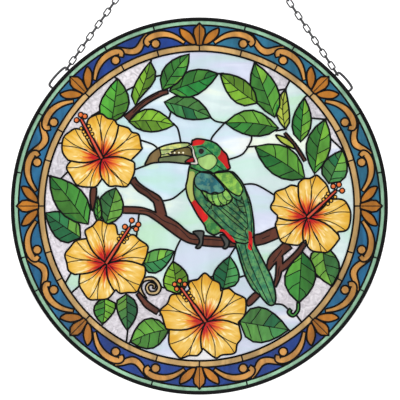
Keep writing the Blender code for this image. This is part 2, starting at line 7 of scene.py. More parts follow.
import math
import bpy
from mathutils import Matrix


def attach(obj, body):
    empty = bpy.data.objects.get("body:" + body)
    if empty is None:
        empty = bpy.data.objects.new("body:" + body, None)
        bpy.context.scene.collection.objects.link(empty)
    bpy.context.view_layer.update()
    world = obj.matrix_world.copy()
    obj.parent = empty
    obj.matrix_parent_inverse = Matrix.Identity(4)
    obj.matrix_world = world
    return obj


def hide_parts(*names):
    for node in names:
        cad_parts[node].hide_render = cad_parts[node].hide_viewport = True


bl_info = {
    "name": "Stained glass panel",
    "version": (1, 0, 0),
    "blender": (4, 5, 0),
    "location": "View3D > Sidebar > Panel",
    "description": "Round leaded glass panel with a bird and hibiscus flowers",
    "category": "Object",
}

import bmesh
import bpy
from bpy.props import FloatProperty, FloatVectorProperty, PointerProperty
from mathutils import Euler, Matrix, Vector
from mathutils.geometry import delaunay_2d_cdt

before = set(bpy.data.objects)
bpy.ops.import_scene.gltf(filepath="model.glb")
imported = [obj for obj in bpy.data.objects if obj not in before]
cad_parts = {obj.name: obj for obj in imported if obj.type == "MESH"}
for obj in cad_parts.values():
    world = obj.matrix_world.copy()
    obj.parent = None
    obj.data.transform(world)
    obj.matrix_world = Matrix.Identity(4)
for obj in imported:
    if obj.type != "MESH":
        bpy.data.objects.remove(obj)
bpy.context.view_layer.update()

MM = 0.001
FRONT_TO_BACK = Vector((0, 1, 0))

# Layout of the disc, millimetres, the same as in the CAD part
DISC_RADIUS = 150.0
RIM_WIDTH = 2.7
GREEN_RING_PITCH = 3.45
BAND_PITCH = 15.5
GOLD_RING_PITCH = 5.2
PALMETTE_PROUD = 1.9
PALMETTE_HALF = 4.8
PALMETTE_SINK = 0.45
BAND_OUTER_RADIUS = DISC_RADIUS - RIM_WIDTH - GREEN_RING_PITCH
BAND_INNER_RADIUS = BAND_OUTER_RADIUS - BAND_PITCH
PICTURE_LINE_RADIUS = BAND_INNER_RADIUS - GOLD_RING_PITCH
PALMETTE_TIP_RADIUS = BAND_OUTER_RADIUS + PALMETTE_PROUD
PALMETTE_FOOT_RADIUS = BAND_INNER_RADIUS - PALMETTE_SINK
PANEL_DROP = 271.0
PANEL_SHIFT = -4.5
RING_INNER_RADIUS = 7.0
RING_WIRE = 2.2
BAIL_STAND = 4.2
CHAIN_LINKS = 31
CIRCLE_SIDES = 160
CURVE_STEPS = 5

# Border palmettes, one at every eighth of the turn: shares of the half width and of the height
PALMETTE_SIDE = [(0.9, 0.74), (1.0, 0.53), (0.7, 0.24)]
PALMETTE_FOOT = 0.45

# Leaves: base, tip, widest mark on the left and on the right, looking from base to tip
LEAVES = {
    "leaf_upper_left": [((-70, 66), (-65, 101.5), (-79.5, 79), (-56, 81))],
    "leaf_top_left": [((-51, 80), (-39, 115), (-52.8, 93), (-35.2, 101))],
    "leaf_group_top": [
        ((-29.5, 92), (-8, 121), (-27.5, 110.5), (-13.5, 102)),
        ((-24, 91.5), (15, 105.3), (-7.5, 107.5), (-4.5, 87.5)),
        ((-28, 82.7), (9.5, 70.5), (-7, 87.3), (-14, 70.2)),
    ],
    "leaf_above_beak": [((-56, 67), (-20, 64.5), (-39, 77.2), (-40, 59))],
    "leaf_pair_top_right": [
        ((46, 82), (16.5, 105.5), (28, 83.3), (37.5, 99)),
        ((60, 70.5), (43.8, 114), (42, 89), (62.5, 93)),
    ],
    "leaf_right_of_crown": [((63, 62), (20.5, 66), (43, 55.6), (42, 76.3))],
    "leaf_upper_right_yellow": [((68.5, 61), (68.5, 93), (60.7, 77), (71.8, 70))],
    "leaf_upper_right": [((80.5, 51), (83.5, 86), (73.8, 66), (89, 66))],
    "leaf_pair_right": [
        ((91.5, 25.5), (100, 69), (85.2, 50), (104, 45.5)),
        ((103, 18), (114, 44.5), (98, 32.5), (116.7, 24.5)),
    ],
    "leaf_right_of_wing": [((84, 22), (44, 47.3), (60, 24.7), (72, 45.6))],
    "leaf_pair_left": [
        ((-88.5, -14.5), (-119, 24), (-111.5, -3.5), (-92, 10.2)),
        ((-94.5, -25), (-122.5, -5.5), (-111.5, -27), (-101, -7.5)),
    ],
    "leaf_pair_under_flower": [
        ((-80, -14), (-80.5, 8), (-84, -3), (-77.7, -5)),
        ((-74.5, -15), (-66.5, 14.5), (-79.7, 4), (-60.7, -4)),
    ],
    "leaf_under_branch": [((-48, -45.5), (-20, -36), (-37, -35.3), (-34, -53))],
    "leaf_above_low_flower": [((-17, -70), (-21, -44), (-28.5, -62), (-9, -57))],
    "leaf_left_of_tail": [((19, -66), (24.2, -40), (11, -55), (31.5, -58))],
    "leaf_pair_low_left": [
        ((-75.5, -73), (-77, -94), (-66.5, -80), (-84, -82)),
        ((-58, -70), (-57.5, -99), (-49.3, -82), (-66, -79)),
    ],
    "leaf_bottom_left": [((-24, -98), (-55, -108), (-37, -113), (-42, -89.7))],
    "leaf_bottom_right": [((32, -92), (71, -98.5), (49, -80.5), (45, -108.5))],
    "leaf_pair_low_right": [
        ((81.5, -36), (79, -77), (92.6, -56), (67.7, -58)),
        ((98, -30), (106, -64), (111.2, -46), (88, -46)),
    ],
}

# Hibiscus flowers: the rim marks of the five petals, clockwise from joint to joint
FLOWERS = {
    "flower_upper_left": [
        [(-89.5, 65), (-88, 69.5), (-82.5, 72.5), (-77.5, 73.2), (-73, 69.8), (-68, 68.7), (-65.5, 65)],
        [(-63, 64), (-56.5, 62), (-53.5, 58.7), (-48.3, 56.8), (-46.3, 48), (-46, 45), (-54, 36.8)],
        [(-51.5, 34), (-52, 26), (-56.5, 16.8), (-60, 15.3), (-66, 16), (-72, 16), (-77, 21.5)],
        [(-78, 21), (-82, 15.8), (-87, 15), (-97, 16.5), (-102, 23.5), (-105.7, 30.5), (-102, 36)],
        [(-104.5, 36.5), (-108.5, 42), (-109.3, 48), (-107.8, 55), (-103, 59.2), (-99, 61.5), (-95, 61)],
    ],
    "flower_lower_left": [
        [(-89.5, -25.5), (-90.8, -19.5), (-85, -15.7), (-81, -11.3), (-77, -11.8), (-73, -14), (-67, -14.8),
         (-65, -22.5)],
        [(-57, -23.5), (-52, -23), (-47.5, -27), (-41.3, -31.5), (-41.5, -37), (-43, -42), (-45, -46)],
        [(-43, -49), (-43.3, -55), (-47, -63), (-50, -68.4), (-57, -68.8), (-63, -69.4), (-66.5, -66.5)],
        [(-68.5, -69), (-73, -73.6), (-81, -74.5), (-88, -74), (-93, -67.5), (-95.7, -62), (-95, -54)],
        [(-99, -54.5), (-104, -51.5), (-105.5, -45), (-107, -38.5), (-103, -33), (-98, -27.5), (-90, -26)],
    ],
    "flower_bottom": [
        [(-7.5, -66), (-8.7, -62.5), (-6.5, -59.5), (-1.5, -58.5), (2.5, -54.3), (5.5, -53.8), (10.5, -58.5),
         (16, -61.5), (17, -67.5)],
        [(20, -66), (24, -65.8), (28.5, -69.5), (35, -72.5), (37, -75.5), (36.3, -86), (31, -92.5)],
        [(32, -97), (33.3, -105), (30, -110), (28, -117), (18, -118.5), (12.5, -120.7), (3, -113.3)],
        [(1, -116.5), (-2, -119), (-8, -119), (-14.5, -121), (-18.5, -118), (-24, -110), (-24, -99)],
        [(-27, -97), (-29.5, -88), (-31.2, -83), (-25.5, -77.5), (-23, -71.5), (-19, -70), (-13, -70.3)],
    ],
    "flower_right": [
        [(79.5, 19), (83, 21.7), (88, 22), (93, 24.5), (97, 21.5), (101.5, 16.5), (103.7, 10)],
        [(106, 5.5), (113, 5.3), (117, 2.5), (120.3, -5), (119.5, -15), (116.5, -19.5), (110, -20.5)],
        [(111.5, -26), (107, -32), (102, -36.7), (97, -36.8), (90, -35.7), (86, -32), (84.5, -27)],
        [(81, -29.5), (78, -31.2), (68, -29.7), (64, -26.5), (61, -17), (60.5, -14.5), (62, -11)],
        [(62, -7.3), (57.5, -3), (57, 0.5), (59.5, 5), (60.5, 11), (68, 14), (73, 16.5), (78, 15.5)],
    ],
}

# The bird, each part in front of the ones after it
BIRD = {
    "bird_beak": [(-43, 32.5), (-41.5, 37), (-38, 42.3), (-30, 47.3), (-20, 49.8), (-12, 50.4), (-7, 49.3),
                  (-4.3, 45), (-3.5, 41), (-1.5, 36), (-2, 33), (-12, 33.8), (-24, 34.9), (-36, 34.4)],
    "bird_head": [(-6, 50.5), (-4.5, 52.5), (-1, 53.5), (8, 52), (14, 49.2), (19, 43.8), (22, 40.5),
                  (23.5, 34), (24.3, 30), (20, 28), (15, 27.5), (11, 26), (8, 27.5), (1, 27.5), (-7, 31),
                  (-7, 34)],
    "bird_wing": [(-4.5, 20), (-3, 24), (1, 27), (9, 26), (16, 26.8), (24, 27.5), (28, 26), (33.5, 19.5),
                  (37, 12.5), (40.5, 3), (42.5, -8), (43.2, -14), (43, -24), (37.5, -29.5), (33, -29.5),
                  (28, -27.5), (18, -18), (8, -8), (-1.5, 3), (-4, 8), (-4.7, 14)],
    "bird_breast": [(-7, 33), (-9.5, 21), (-10.7, 15), (-9, 7), (-6, 1), (-1, -8), (4, -15), (6, -20),
                    (12, -23), (18, -21), (24, -27.5), (29, -29.5), (33, -22), (10, 5), (0, 30)],
    "bird_tail": [(29, -28), (31, -38), (34, -48), (37, -56.5), (42, -65.5), (48, -71), (55, -78.5),
                  (60, -77.5), (60.5, -69), (57, -56), (51, -44), (44, -30), (43, -22), (36, -20)],
}

# Branches: centre-line marks with the half width there
BRANCHES = {
    "branch_main": [
        [(-61, -3, 2.6), (-48, -3.5, 2.6), (-41, -5, 2.3), (-35, -8, 2.8), (-28, -11.5, 4), (-20, -17, 4.5),
         (-13, -22.5, 4), (-6, -26, 3.8), (8, -28, 4), (22, -29, 3.5), (31, -29, 3.2)],
        [(-53.5, 21.5, 2.8), (-51, 18, 2.5), (-47, 14, 2.8), (-41.5, 10.5, 2.7), (-37, 7.5, 3.1),
         (-33, 3.5, 3.5), (-30, -8, 4)],
    ],
    "branch_by_tail": [[(42, -27.7, 4.2), (50, -26, 4.3), (56, -23.5, 4.5), (63, -20.5, 4.5)]],
    "branch_lower_right": [
        [(71, -30.5, 4), (66, -35, 3.5), (61, -39.5, 3.5), (57.5, -44, 3.2), (54.5, -51, 1.2)],
        [(64, -40, 2.4), (63.5, -48, 2.5), (62.5, -56, 2), (60, -64, 1.2)],
        [(84, -29.5, 1.8), (78.5, -37, 2), (73.5, -42, 2), (68, -47.5, 2.4), (63, -52, 1.5)],
    ],
    "branch_upper_left": [[(-58, 69.5, 3), (-53, 74.5, 2.2), (-43.5, 82.5, 2.1), (-32, 89, 2),
                           (-25, 91, 1.5)]],
}

# Bails: where each wire loop stands on the rim, degrees, the chain's end first
BAILS = {"left": (133.9, 141.2), "right": (43.9, 37.6)}



def round_marks(x, z, radius, turn, count):
    """Marks round a point, each a turn in radians on from the last."""
    return [(x + radius * math.cos(k * turn), z + radius * math.sin(k * turn)) for k in range(count)]


# Bird patches: owner, colour, outline
TEETH = [(-26.5 + 3.4 * i, 41.6 + 0.9 * math.sin(0.5 * i)) for i in range(5)]
PATCHES = [
    ("bird_head", "bead_black", round_marks(1.5, 43.6, 2.2, 1, 6)),
    ("bird_head", "eye", round_marks(1.5, 43.5, 3.8, 0.7, 9)),
    ("bird_head", "red", [(-8, 48.2), (-6, 54), (-1, 56), (4.4, 55), (4.6, 52), (2.4, 49.2), (-2, 48.2)]),
    ("bird_head", "red", [(14.6, 38.2), (16.6, 41.6), (19, 47), (30, 40), (28, 27.5), (23.4, 28.2),
                          (18.6, 34)]),
    ("bird_head", "cheek", [(3, 39.5), (7, 41.2), (11, 40.8), (14, 37.5), (13, 33), (8, 28.8), (3, 30),
                            (-1, 34), (-1, 38)]),
    ("bird_beak", "brown_beak", [(-46, 30.5), (-43.5, 37), (-38, 44.3), (-33, 48), (-31, 43), (-30.7, 40),
                                 (-32.5, 37), (-33, 30)]),
    ("bird_beak", "red_line", [(-11.5, 35.2), (-6.5, 38.6), (-4.2, 37.8), (-4.6, 35), (-7, 34.4)]),
    ("bird_beak", "olive", [(-24.5, 41.2), (-19, 44.6), (-14, 46.2), (-8, 46.6), (-6, 42.4), (-6.3, 39.6),
                            (-14, 40.8)]),
    ("bird_beak", "stone_beak", [(-33, 37.8), (-20, 40.2), (-8, 39.8), (-5, 30), (-24, 30), (-34, 33)]),
    ("bird_wing", "mottled_blue", [(-4, 20), (-3, 24), (1, 27), (9, 25.6), (16, 19), (20, 13.8), (19, 11.5),
                                   (16, 10.2), (12, 11), (8.5, 9.6), (5, 11.8), (1, 12.6), (-3, 16)]),
    ("bird_wing", "mottled_lime", [(12, 25.4), (16, 26.8), (24, 27.2), (30, 21.5), (34.3, 15), (34, 11),
                                   (31, 8), (24, 12), (17, 19.5)]),
    ("bird_wing", "feather_light", [(1, 12.6), (8.5, 9.6), (16, 10.2), (20, 13.8), (25.5, 8), (25.5, 4),
                                    (21, 1), (15, 0), (9, 2.5)]),
    ("bird_breast", "straw", [(-12, 19), (-10, 26), (-4, 27), (-4.9, 18), (-4.6, 10), (-4.4, 5), (-8, 3),
                              (-12, 10)]),
    ("bird_breast", "red", [(-8, 5), (-3.6, 4.6), (0, 0.5), (4, -5), (7, -9), (3, -13), (-2, -8), (-8, 0)]),
    ("bird_breast", "red", [(16, -19.5), (19.5, -18.6), (24, -22.5), (28.5, -28), (27, -30.5), (21, -26)]),
    ("bird_tail", "red", [(38.8, -15), (41, -18), (42.3, -27), (41.6, -35), (38.6, -33), (39.3, -27)]),
]
SOFT_EDGED = ("red", "eye", "bead_black", "tooth", "straw")
TOOTH = 0.9
BEAK_BAND = [(-7.8, 49.4, 1.2), (-4.9, 46.5, 1.2), (-4.3, 41, 1.2), (-2.6, 36.5, 1.2), (-2.4, 34, 1.2),
             (-7, 33.9, 1)]

# Small motifs with no solid of their own: name, colour, outline; feet and stubs of branch
EXTRAS = [
    ("feet", "stone", [(-5, -20.5), (3, -20), (3, -25), (2.5, -30), (0, -33.5), (-3, -33), (0, -29),
                       (-1, -25)]),
    ("feet", "stone", [(16.5, -23), (21, -24), (23.5, -27), (23.5, -31), (21, -34), (18.5, -33), (20, -30)]),
    ("stubs", "brown", [(44, -69), (48, -71), (45, -75), (40.5, -79), (38, -79), (38, -75)]),
    ("stubs", "brown", [(-86, 14.5), (-82, 14.5), (-82.5, 5), (-85, -4), (-87, 6)]),
    ("stubs", "yellow_green", [(61, 56.5), (70.3, 53.3), (76.5, 45.5), (68, 49), (64, 52)]),
]
EXTRA_STRIPS = [
    ("stubs", "brown", [(-49, -69.5, 1.6), (-45, -74.5, 2), (-41, -79, 2.4), (-33, -84.3, 2.3)]),
    ("stubs", "brown", [(68, 58, 1), (77, 47, 1.2), (84, 36, 1.2)]),
    ("tendril", "beige", [(-43, -74, 1.3), (-47, -67, 1.3), (-46.5, -61, 1.3), (-42, -58, 1.4),
                          (-36, -58.5, 1.4), (-32, -64, 1.5), (-34, -68.7, 1.5), (-39.5, -69, 1.4),
                          (-41.7, -65, 1.2), (-39.5, -61.8, 1.1), (-36, -62.8, 1), (-36.3, -65.8, 0.9)]),
    ("tendril", "green", [(78.7, -77, 1.1), (78.3, -83, 1.2), (74.5, -87, 1.2), (71.3, -84.5, 1.4),
                          (72.8, -82.3, 1.2)]),
]

# Feather lines and other lines inside a motif, by its owner
INNER_LINES = {
    "bird_wing": [
        [(10, 2), (17, -0.3), (22, 1.5), (25.6, 5.5), (24.5, 10), (21, 13)],
        [(2, 13), (5, 5), (10, 2), (6, -5)], [(10, 9.5), (10.5, 5), (13, 1), (16, 0.3), (17.4, 3)],
        [(14.5, 10.3), (15, 6), (17.5, 2), (21, 1), (22, 4.5)], [(18.5, 11.5), (19, 8), (22, 4.5), (25, 5)],
        [(6, 11), (6.3, 7), (9, 3.5), (12, 3.6)], [(26, 8), (29, 5), (33, 4.5), (33.5, 8)],
        [(29, 5), (31, 0), (35.5, 0)], [(31, 0), (32.5, -4.5), (37, -5)], [(5, 1.5), (9, -2.5), (10, 1.8)],
        [(13, 0.5), (23, -9), (36, -20)], [(17, -0.3), (27, -8.5), (38, -18.5)],
        [(21, 1), (30, -6), (38, -14)], [(25, 4), (32, -2.5), (37, -8.5)],
        [(25.5, 8), (31, 4.5), (35, 1.7)],
        [(33.5, 8), (36, 0), (38, -10), (38.5, -17), (36.5, -20), (40, -29)],
        [(10, -3), (20, -13.5), (30, -21.5), (37.5, -25)], [(6, -5.5), (15, -14), (26, -24), (37, -27.5)],
        [(35.5, 15), (39, 3), (41, -8), (41.5, -26)], [(37.5, 3), (40, 3)],
    ],
    "bird_tail": [
        [(31, -31), (34, -41), (37, -50), (41, -58), (49, -71)],
        [(35, -24), (39, -42), (43, -52), (48, -63), (55, -77)],
        [(40, -30), (46, -44), (50, -54), (54, -64), (59, -77)],
    ],
    "bird_beak": [
        [(-31, 44.5), (-20, 45.2), (-12, 46.8), (-7, 48.5)], [(-24, 42), (-31, 40.5)],
    ],
    "bird_head": [
        [(-2, 47), (3, 47), (7, 44.5), (12.5, 39.5), (14, 37)], [(13, 33), (20, 28)],
    ],
    "bird_breast": [
        [(-7, 30), (0, 28)],
    ],
}

# Lead lines across the pale background
CLEAR_LINES = [
    [(-20, 65), (-17, 61), (-14.8, 51)], [(-22.5, 76), (-24, 70)], [(-47, 52.5), (-37, 49), (-33, 45.5)],
    [(-50, 29.5), (-42, 32.5)], [(-31, 3.8), (-21, 6), (-11, 14)], [(9, 70.5), (13, 67.5), (21, 66)],
    [(9, 51.5), (11, 56), (20, 66)], [(41.5, 55.5), (41, 51.5), (36, 43), (31, 39.5), (23, 37)],
    [(39, 47), (44, 47.5)], [(34, 17), (45, 17), (60, 8.5)], [(-14.5, -26), (-18.5, -34), (-21, -44)],
    [(29, -32), (24, -40)], [(31, -57), (37, -55)], [(60, -78), (66, -78.5), (71, -82.5)],
    [(-107, -62), (-102, -53)], [(-32, -64), (-28, -65)], [(-65, 101), (-68, 103)], [(-52, 95), (-58, 92)],
    [(-38.5, 115), (-38, 118)], [(-30, 104), (-35.5, 103)], [(15, 105.3), (18, 105.5)],
    [(43.8, 114), (44, 116)], [(62.5, 92), (68, 93)], [(68.5, 93), (72, 100)], [(83.5, 86), (86, 88.5)],
    [(88, 70), (100, 69)], [(100, 69), (103, 70)], [(103, 55), (114, 44.5)], [(114, 44.5), (116, 45)],
    [(-119, 24), (-122, 24)], [(-105, 27), (-112, 20)], [(-108, 50), (-114, 50)], [(-85, 72), (-80, 75)],
    [(-57, -99), (-58, -108)], [(-77, -94), (-78, -96)], [(-96, -64), (-103, -70)],
    [(-55, -108), (-57, -110)], [(-31, -86), (-24, -78)], [(71, -98.5), (73, -100)],
    [(81, -92), (77, -86.5)], [(105, -64), (104, -67)], [(92, -56), (97, -57)], [(-10, -60), (11, -56)],
    [(-60, -1), (-64, 0)], [(-48, -6), (-50, -24)], [(-45, -46), (-47, -45)], [(62, 60), (68, 61)],
]

# Border scrolls in one eighth of the band: degrees from its start and radius
SCROLL_CURL = [(5.2, 130.4, 1.4), (8.2, 136, 2.1), (11.3, 139.4, 2.6), (14.4, 140.3, 2.8), (16.8, 139.2, 2.7),
               (17.9, 136.8, 2.4), (17.2, 134, 1.9)]
SCROLL_WAVE = [(16.9, 143.4, 1), (18.7, 139.6, 1.9), (20.2, 135.8, 2.6), (21.8, 133.6, 2.9), (24, 134.4, 2.6),
               (26.4, 138.3, 2.2), (28.4, 142.6, 1.3)]
SCROLL_LEAF = [(1.3, 129), (1.9, 134), (3.4, 138.8), (6.1, 142.3), (6.3, 137.4), (5, 132.8), (2.9, 129)]
SCROLL_BALL = (15.1, 133.7, 3.6)
BALL_TURN = 0.63
GREEN_JOINTS = [104.4, 120.8, 150, 169.5, 196.3, 207.4, 255, 285, 332.6, 343.7, 10.5, 30, 59.2, 75.6]
GOLD_JOINTS = [
    90, 105.2, 119, 135.3, 151.6, 163.3, 180, 197, 207.7, 225, 254.3, 270, 285.7, 315, 332.3, 343, 0, 16.7,
    28.4, 44.7, 61, 74.8,
]

# Glass colours, linear, by the last word of a facet's name
PAINT = {
    "red": (0.56, 0.006, 0.006), "red_line": (0.42, 0.006, 0.01), "cheek": (0.32, 0.52, 0.16),
    "band": (0.86, 0.84, 0.74), "tooth": (0.84, 0.8, 0.58), "beige": (0.56, 0.4, 0.19),
    "olive": (0.17, 0.13, 0.035), "stone": (0.06, 0.065, 0.06), "mottled_blue": (0.012, 0.115, 0.14),
    "eye": (0.05, 0.24, 0.12), "mottled_lime": (0.1, 0.28, 0.05), "bead_black": (0.012, 0.004, 0.003),
    "brown_beak": (0.17, 0.11, 0.04), "stone_beak": (0.15, 0.19, 0.08), "straw": (0.5, 0.56, 0.14),
    "feather_light": (0.1, 0.3, 0.07), "yellow_green": (0.36, 0.44, 0.05), "green": (0.05, 0.26, 0.04),
    "gold": (0.55, 0.26, 0.06), "amber": (0.42, 0.15, 0.012), "beak": (0.4, 0.52, 0.2),
    "wing": (0.02, 0.15, 0.07), "tail": (0.02, 0.15, 0.075), "head": (0.008, 0.19, 0.06),
    "breast": (0.03, 0.2, 0.05),
}
CLEAR_TINTS = [
    (0.56, 0.8, 0.62), (0.52, 0.76, 0.82), (0.64, 0.68, 0.86), (0.6, 0.82, 0.68), (0.62, 0.76, 0.86),
]
OUTER_TINTS = [(0.74, 0.70, 0.75), (0.78, 0.74, 0.78), (0.70, 0.67, 0.72)]
OUTER_PANE_RADIUS, CRINKLED_SHARE = 84.0, 0.7
LEAF_TINTS = [(0.005, 0.115, 0.042), (0.008, 0.14, 0.022), (0.02, 0.18, 0.018), (0.08, 0.20, 0.012)]
LEAF_TONES = {
    "leaf_bottom_left": 0.3, "leaf_under_branch": 0.1, "leaf_right_of_crown": 0.3, "leaf_above_beak": 0.9,
    "leaf_upper_right_yellow": 0.95, "leaf_pair_left~1": 0.1, "leaf_pair_under_flower~1": 0.1,
}
LEAF_LIGHT = 1.6
LEAF_FRESH = (0.16, 0.33, 0.02)
MOTTLED = ("bird", "patch_bird_wing")
BLUE_TINTS = [
    (0.008, 0.04, 0.26), (0.014, 0.1, 0.25), (0.02, 0.15, 0.22), (0.006, 0.03, 0.22), (0.014, 0.12, 0.22),
]
HEART_RED, HEART_ORANGE = (0.48, 0.004, 0.004), (0.74, 0.16, 0.012)
PETAL_RIM, PETAL_LIGHT, PETAL_GLOSS = (0.62, 0.28, 0.02), (0.92, 0.74, 0.30), (0.96, 0.86, 0.50)
HEARTS = {"flower_upper_left": (-77.5, 38), "flower_lower_left": (-74, -45.5), "flower_bottom": (5, -92),
          "flower_right": (86, -9)}

# Shades of facets: the lowest and the range above it
FACET_SHADE = (0.85, 0.3)
BRANCH_SHADE = (0.9, 0.2)
CLEAR_SHADE = (0.94, 0.12)
BAND_COLOUR_SHARE = 0.2
FRESH_SHARES = (0.65, 0.3)

# Leaves: how full their sides are, and between which shares of the length the widest mark may lie
LEAF_FULLNESS = 0.85
WIDEST = (0.15, 0.85)

# Veins: where they leave a leaf's midrib by side, how far they rise, and each petal's by place on the rim,
# bow and length; then how far a branch's groove lies off its middle
LEAF_VEINS = ((1, (0.22, 0.48, 0.7)), (-1, (0.12, 0.36, 0.6)))
VEIN_BEND = 0.08
VEIN_RISE = 0.17
VEIN_END = 0.93
PETAL_VEINS = ((0.25, 0.07, 0.9), (0.5, -0.04, 0.62), (0.76, -0.08, 0.88))
PETAL_JOINT_BOW = 0.1
PETAL_JOINT_END = 0.98
GROOVE_OFF = (0.35, -0.1)

# Stamens: where each ends, then its round beads with their radii
STAMENS = {
    "flower_upper_left": ((-94, 69), [
        (-94.3, 72.5, 2), (-91, 71.3, 2), (-97.6, 68.3, 2), (-94, 61.8, 1.2), (-88, 63.6, 1.2),
        (-86.8, 61, 1.2), (-92, 59, 1.2), (-90.8, 56.8, 1.2), (-85.2, 57.3, 1.2), (-89.2, 54.5, 1.2),
    ]),
    "flower_lower_left": ((-55.5, -17), [
        (-53.7, -11.5, 2), (-59.2, -16.5, 2), (-48.5, -14.7, 2), (-50.3, -18.3, 2), (-61, -21.3, 1.1),
        (-62.5, -23.7, 1.1), (-64.2, -26, 1.1), (-56.2, -23, 1.1), (-57.5, -26, 1.1), (-59.8, -28.7, 1.1),
    ]),
    "flower_bottom": ((-14.5, -65), [
        (-15.6, -59.5, 1.8), (-19.7, -62.2, 1.8), (-11.6, -62.2, 1.8), (-18, -66, 1.8), (-8.3, -69, 1.1),
        (-6.8, -71.5, 1.1), (-5.2, -73.5, 1.1), (-13.7, -70.2, 1.1), (-12, -72.7, 1.1), (-10.3, -75, 1.1),
    ]),
    "flower_right": ((108.5, 12), [
        (106.5, 15.7, 2), (111, 17, 2), (113.5, 12.2, 2), (98.7, 5.2, 1.2), (101, 7.5, 1.2),
        (102.3, 9.8, 1.2), (102.2, 1.8, 1.2), (104.8, 4.2, 1.2), (108, 7.2, 1.2),
    ]),
}

# Stamens: rods and beads, millimetres, and how deep their dark edges sit in the glass
ROD_RADIUS, ROD_FOOT_RADIUS, ROD_SIDES = 0.85, 1.25, 10
EDGE_SINK, EDGE_WIDTH = 1.45, 1.6
STIGMA_RADIUS, STALK_RADIUS, STALK_SINK = 1.5, 0.75, 0.3
BEAD_SHARE, BEAD_PROUD, BEAD_FLAT = 0.85, 0.2, 0.6
BEAD_RIM, BEAD_RIM_FLAT = 0.65, 0.3
BEAD_ORANGE, BEAD_YELLOW, STAMEN_RED = (0.60, 0.12, 0.018), (0.62, 0.32, 0.03), (0.48, 0.045, 0.014)

# Lead: how far a background line reaches past its end, the least half width of a branch with a groove,
# sides of a bead and its share of the depth by width class, and how near a ring an edge has to lie
LINE_REACH = 1.6
GROOVED_HALF = 2.4
BEAD_SIDES = 8
BEAD_DEPTHS = (1.0, 0.94, 0.86)
ON_RING = 0.05

# Border: overlap of the green ring under the rim, radii of the veins and pane joints, degrees of the joints
RING_OVERLAP = 0.6
EIGHTH = 45.0
BAND_LINE_START, PALMETTE_VEIN_END, PANE_JOINT_END = 129, 145, 143
PANE_JOINTS = (12.4, 23.2, 33)

# Metal parts
RIM_BEVEL, RIM_STEPS = 0.8, 200
BAIL_SINK, BAIL_SHOULDER, BAIL_CROWN, BAIL_SIDES = 0.3, 1.4, 0.4, 12
RING_STEPS, RING_SIDES = 64, 14
LINK_STEPS, LINK_SIDES, LINK_PLAY = 8, 8, 0.15

# Glass textures: turn, stretch, detail, bend and the range of noise that is used
STREAK_TURN, STREAK_STRETCH, STREAK_DETAIL, STREAK_BEND = (0.0, 0.6, 0.0), (1.0, 1.0, 0.35), 5.0, 1.2
STREAK_RANGE = (0.35, 0.68)
MOTTLE_SCALE, MOTTLE_DETAIL, MOTTLE_RANGE = 340.0, 3.0, (0.42, 0.60)
MOTTLE_LIGHT = ((1.9, 1.5, 1.1), (0.06, 0.05, 0.01))
DRIFT_TURN, DRIFT_STRETCH, DRIFT_DETAIL, DRIFT_BEND = (0.0, -0.25, 0.0), (9.0, 9.0, 34.0), 4.0, 0.8
DRIFT_STOPS = [(0.36, (0.48, 0.72, 0.53)), (0.44, (0.55, 0.72, 0.72)), (0.52, (0.65, 0.68, 0.80)),
               (0.58, (0.80, 0.84, 0.92)), (0.63, (1.0, 0.95, 0.84))]
DRIFT_SHARE = 0.55
CRINKLE_SCALE, CRINKLE_DETAIL, CRINKLE_BEND, CRINKLE_RANGE = 150.0, 4.0, 2.5, (0.35, 0.65, 0.66, 1.1)
HEART_RAYS, HEART_SPREAD, PETAL_REACH = (7.0, 0.045, 3.0), 26.0, 46.0
GLOSS_RAYS, GLOSS_RANGE, GLOSS_STRENGTH = (9.0, 0.10, 2.0), (0.52, 0.66), 0.8
GLOSS_STARTS, GLOSS_ENDS = (10.0, 17.0), (31.0, 22.0)

# Stage, metres
FLOOR_LEVEL, ROOM_HALF, WALL_TOP, WALL_GLOW = -0.52, 3, 2, 0.5
STAGE_TONE, STUDIO_LIGHT = (0.86, 0.86, 0.86), 0.85
LAMPS = (
    ("key", (-0.9, -1.3, 0.5), (1.1, 0.0, -0.6), 1.2, 14.0),
    ("back", (0.0, 0.12, 0.6), (0.0, 0.0, 0.0), 1.0, 9.0),
)
VIEW_WIDTH, VIEW_RIGHT, VIEW_UP = 0.3188, 0.0005, 0.0048


# Outlines
def rounded(marks, closed):
    """Catmull-Rom curve through the marks."""
    count = len(marks)
    spans = count if closed else count - 1
    points = []
    for i in range(spans):
        if closed:
            quad = [marks[(i + k) % count] for k in (-1, 0, 1, 2)]
        else:
            quad = [marks[min(max(i + k, 0), count - 1)] for k in (-1, 0, 1, 2)]
        for step in range(CURVE_STEPS):
            t = step / CURVE_STEPS
            weights = (
                -0.5 * t + t * t - 0.5 * t ** 3,
                1 - 2.5 * t * t + 1.5 * t ** 3,
                0.5 * t + 2 * t * t - 1.5 * t ** 3,
                -0.5 * t * t + 0.5 * t ** 3,
            )
            points.append(tuple(sum(w * q[axis] for w, q in zip(weights,
                quad)) for axis in range(len(marks[0]))))
    if not closed:
        points.append(tuple(marks[-1]))
    return points


def leaf_side(base, tip, widest, steps=6):
    """One edge of a leaf from base to tip, furthest out at the widest mark."""
    ax, az = tip[0] - base[0], tip[1] - base[1]
    length = math.hypot(ax, az)
    ux, uz = ax / length, az / length
    wx, wz = widest[0] - base[0], widest[1] - base[1]
    along = min(max((wx * ux + wz * uz) / length, WIDEST[0]), WIDEST[1])
    offset = -wx * uz + wz * ux
    power = math.log(0.5) / math.log(along)
    points = []
    for i in range(1, steps):
        t = i / steps
        out = offset * math.sin(math.pi * t ** power) ** LEAF_FULLNESS
        points.append((base[0] + ax * t - uz * out, base[1] + az * t + ux * out))
    return points


def leaf(base, tip, left, right):
    return [base] + leaf_side(base, tip, right) + [tip] + leaf_side(base, tip, left)[::-1]


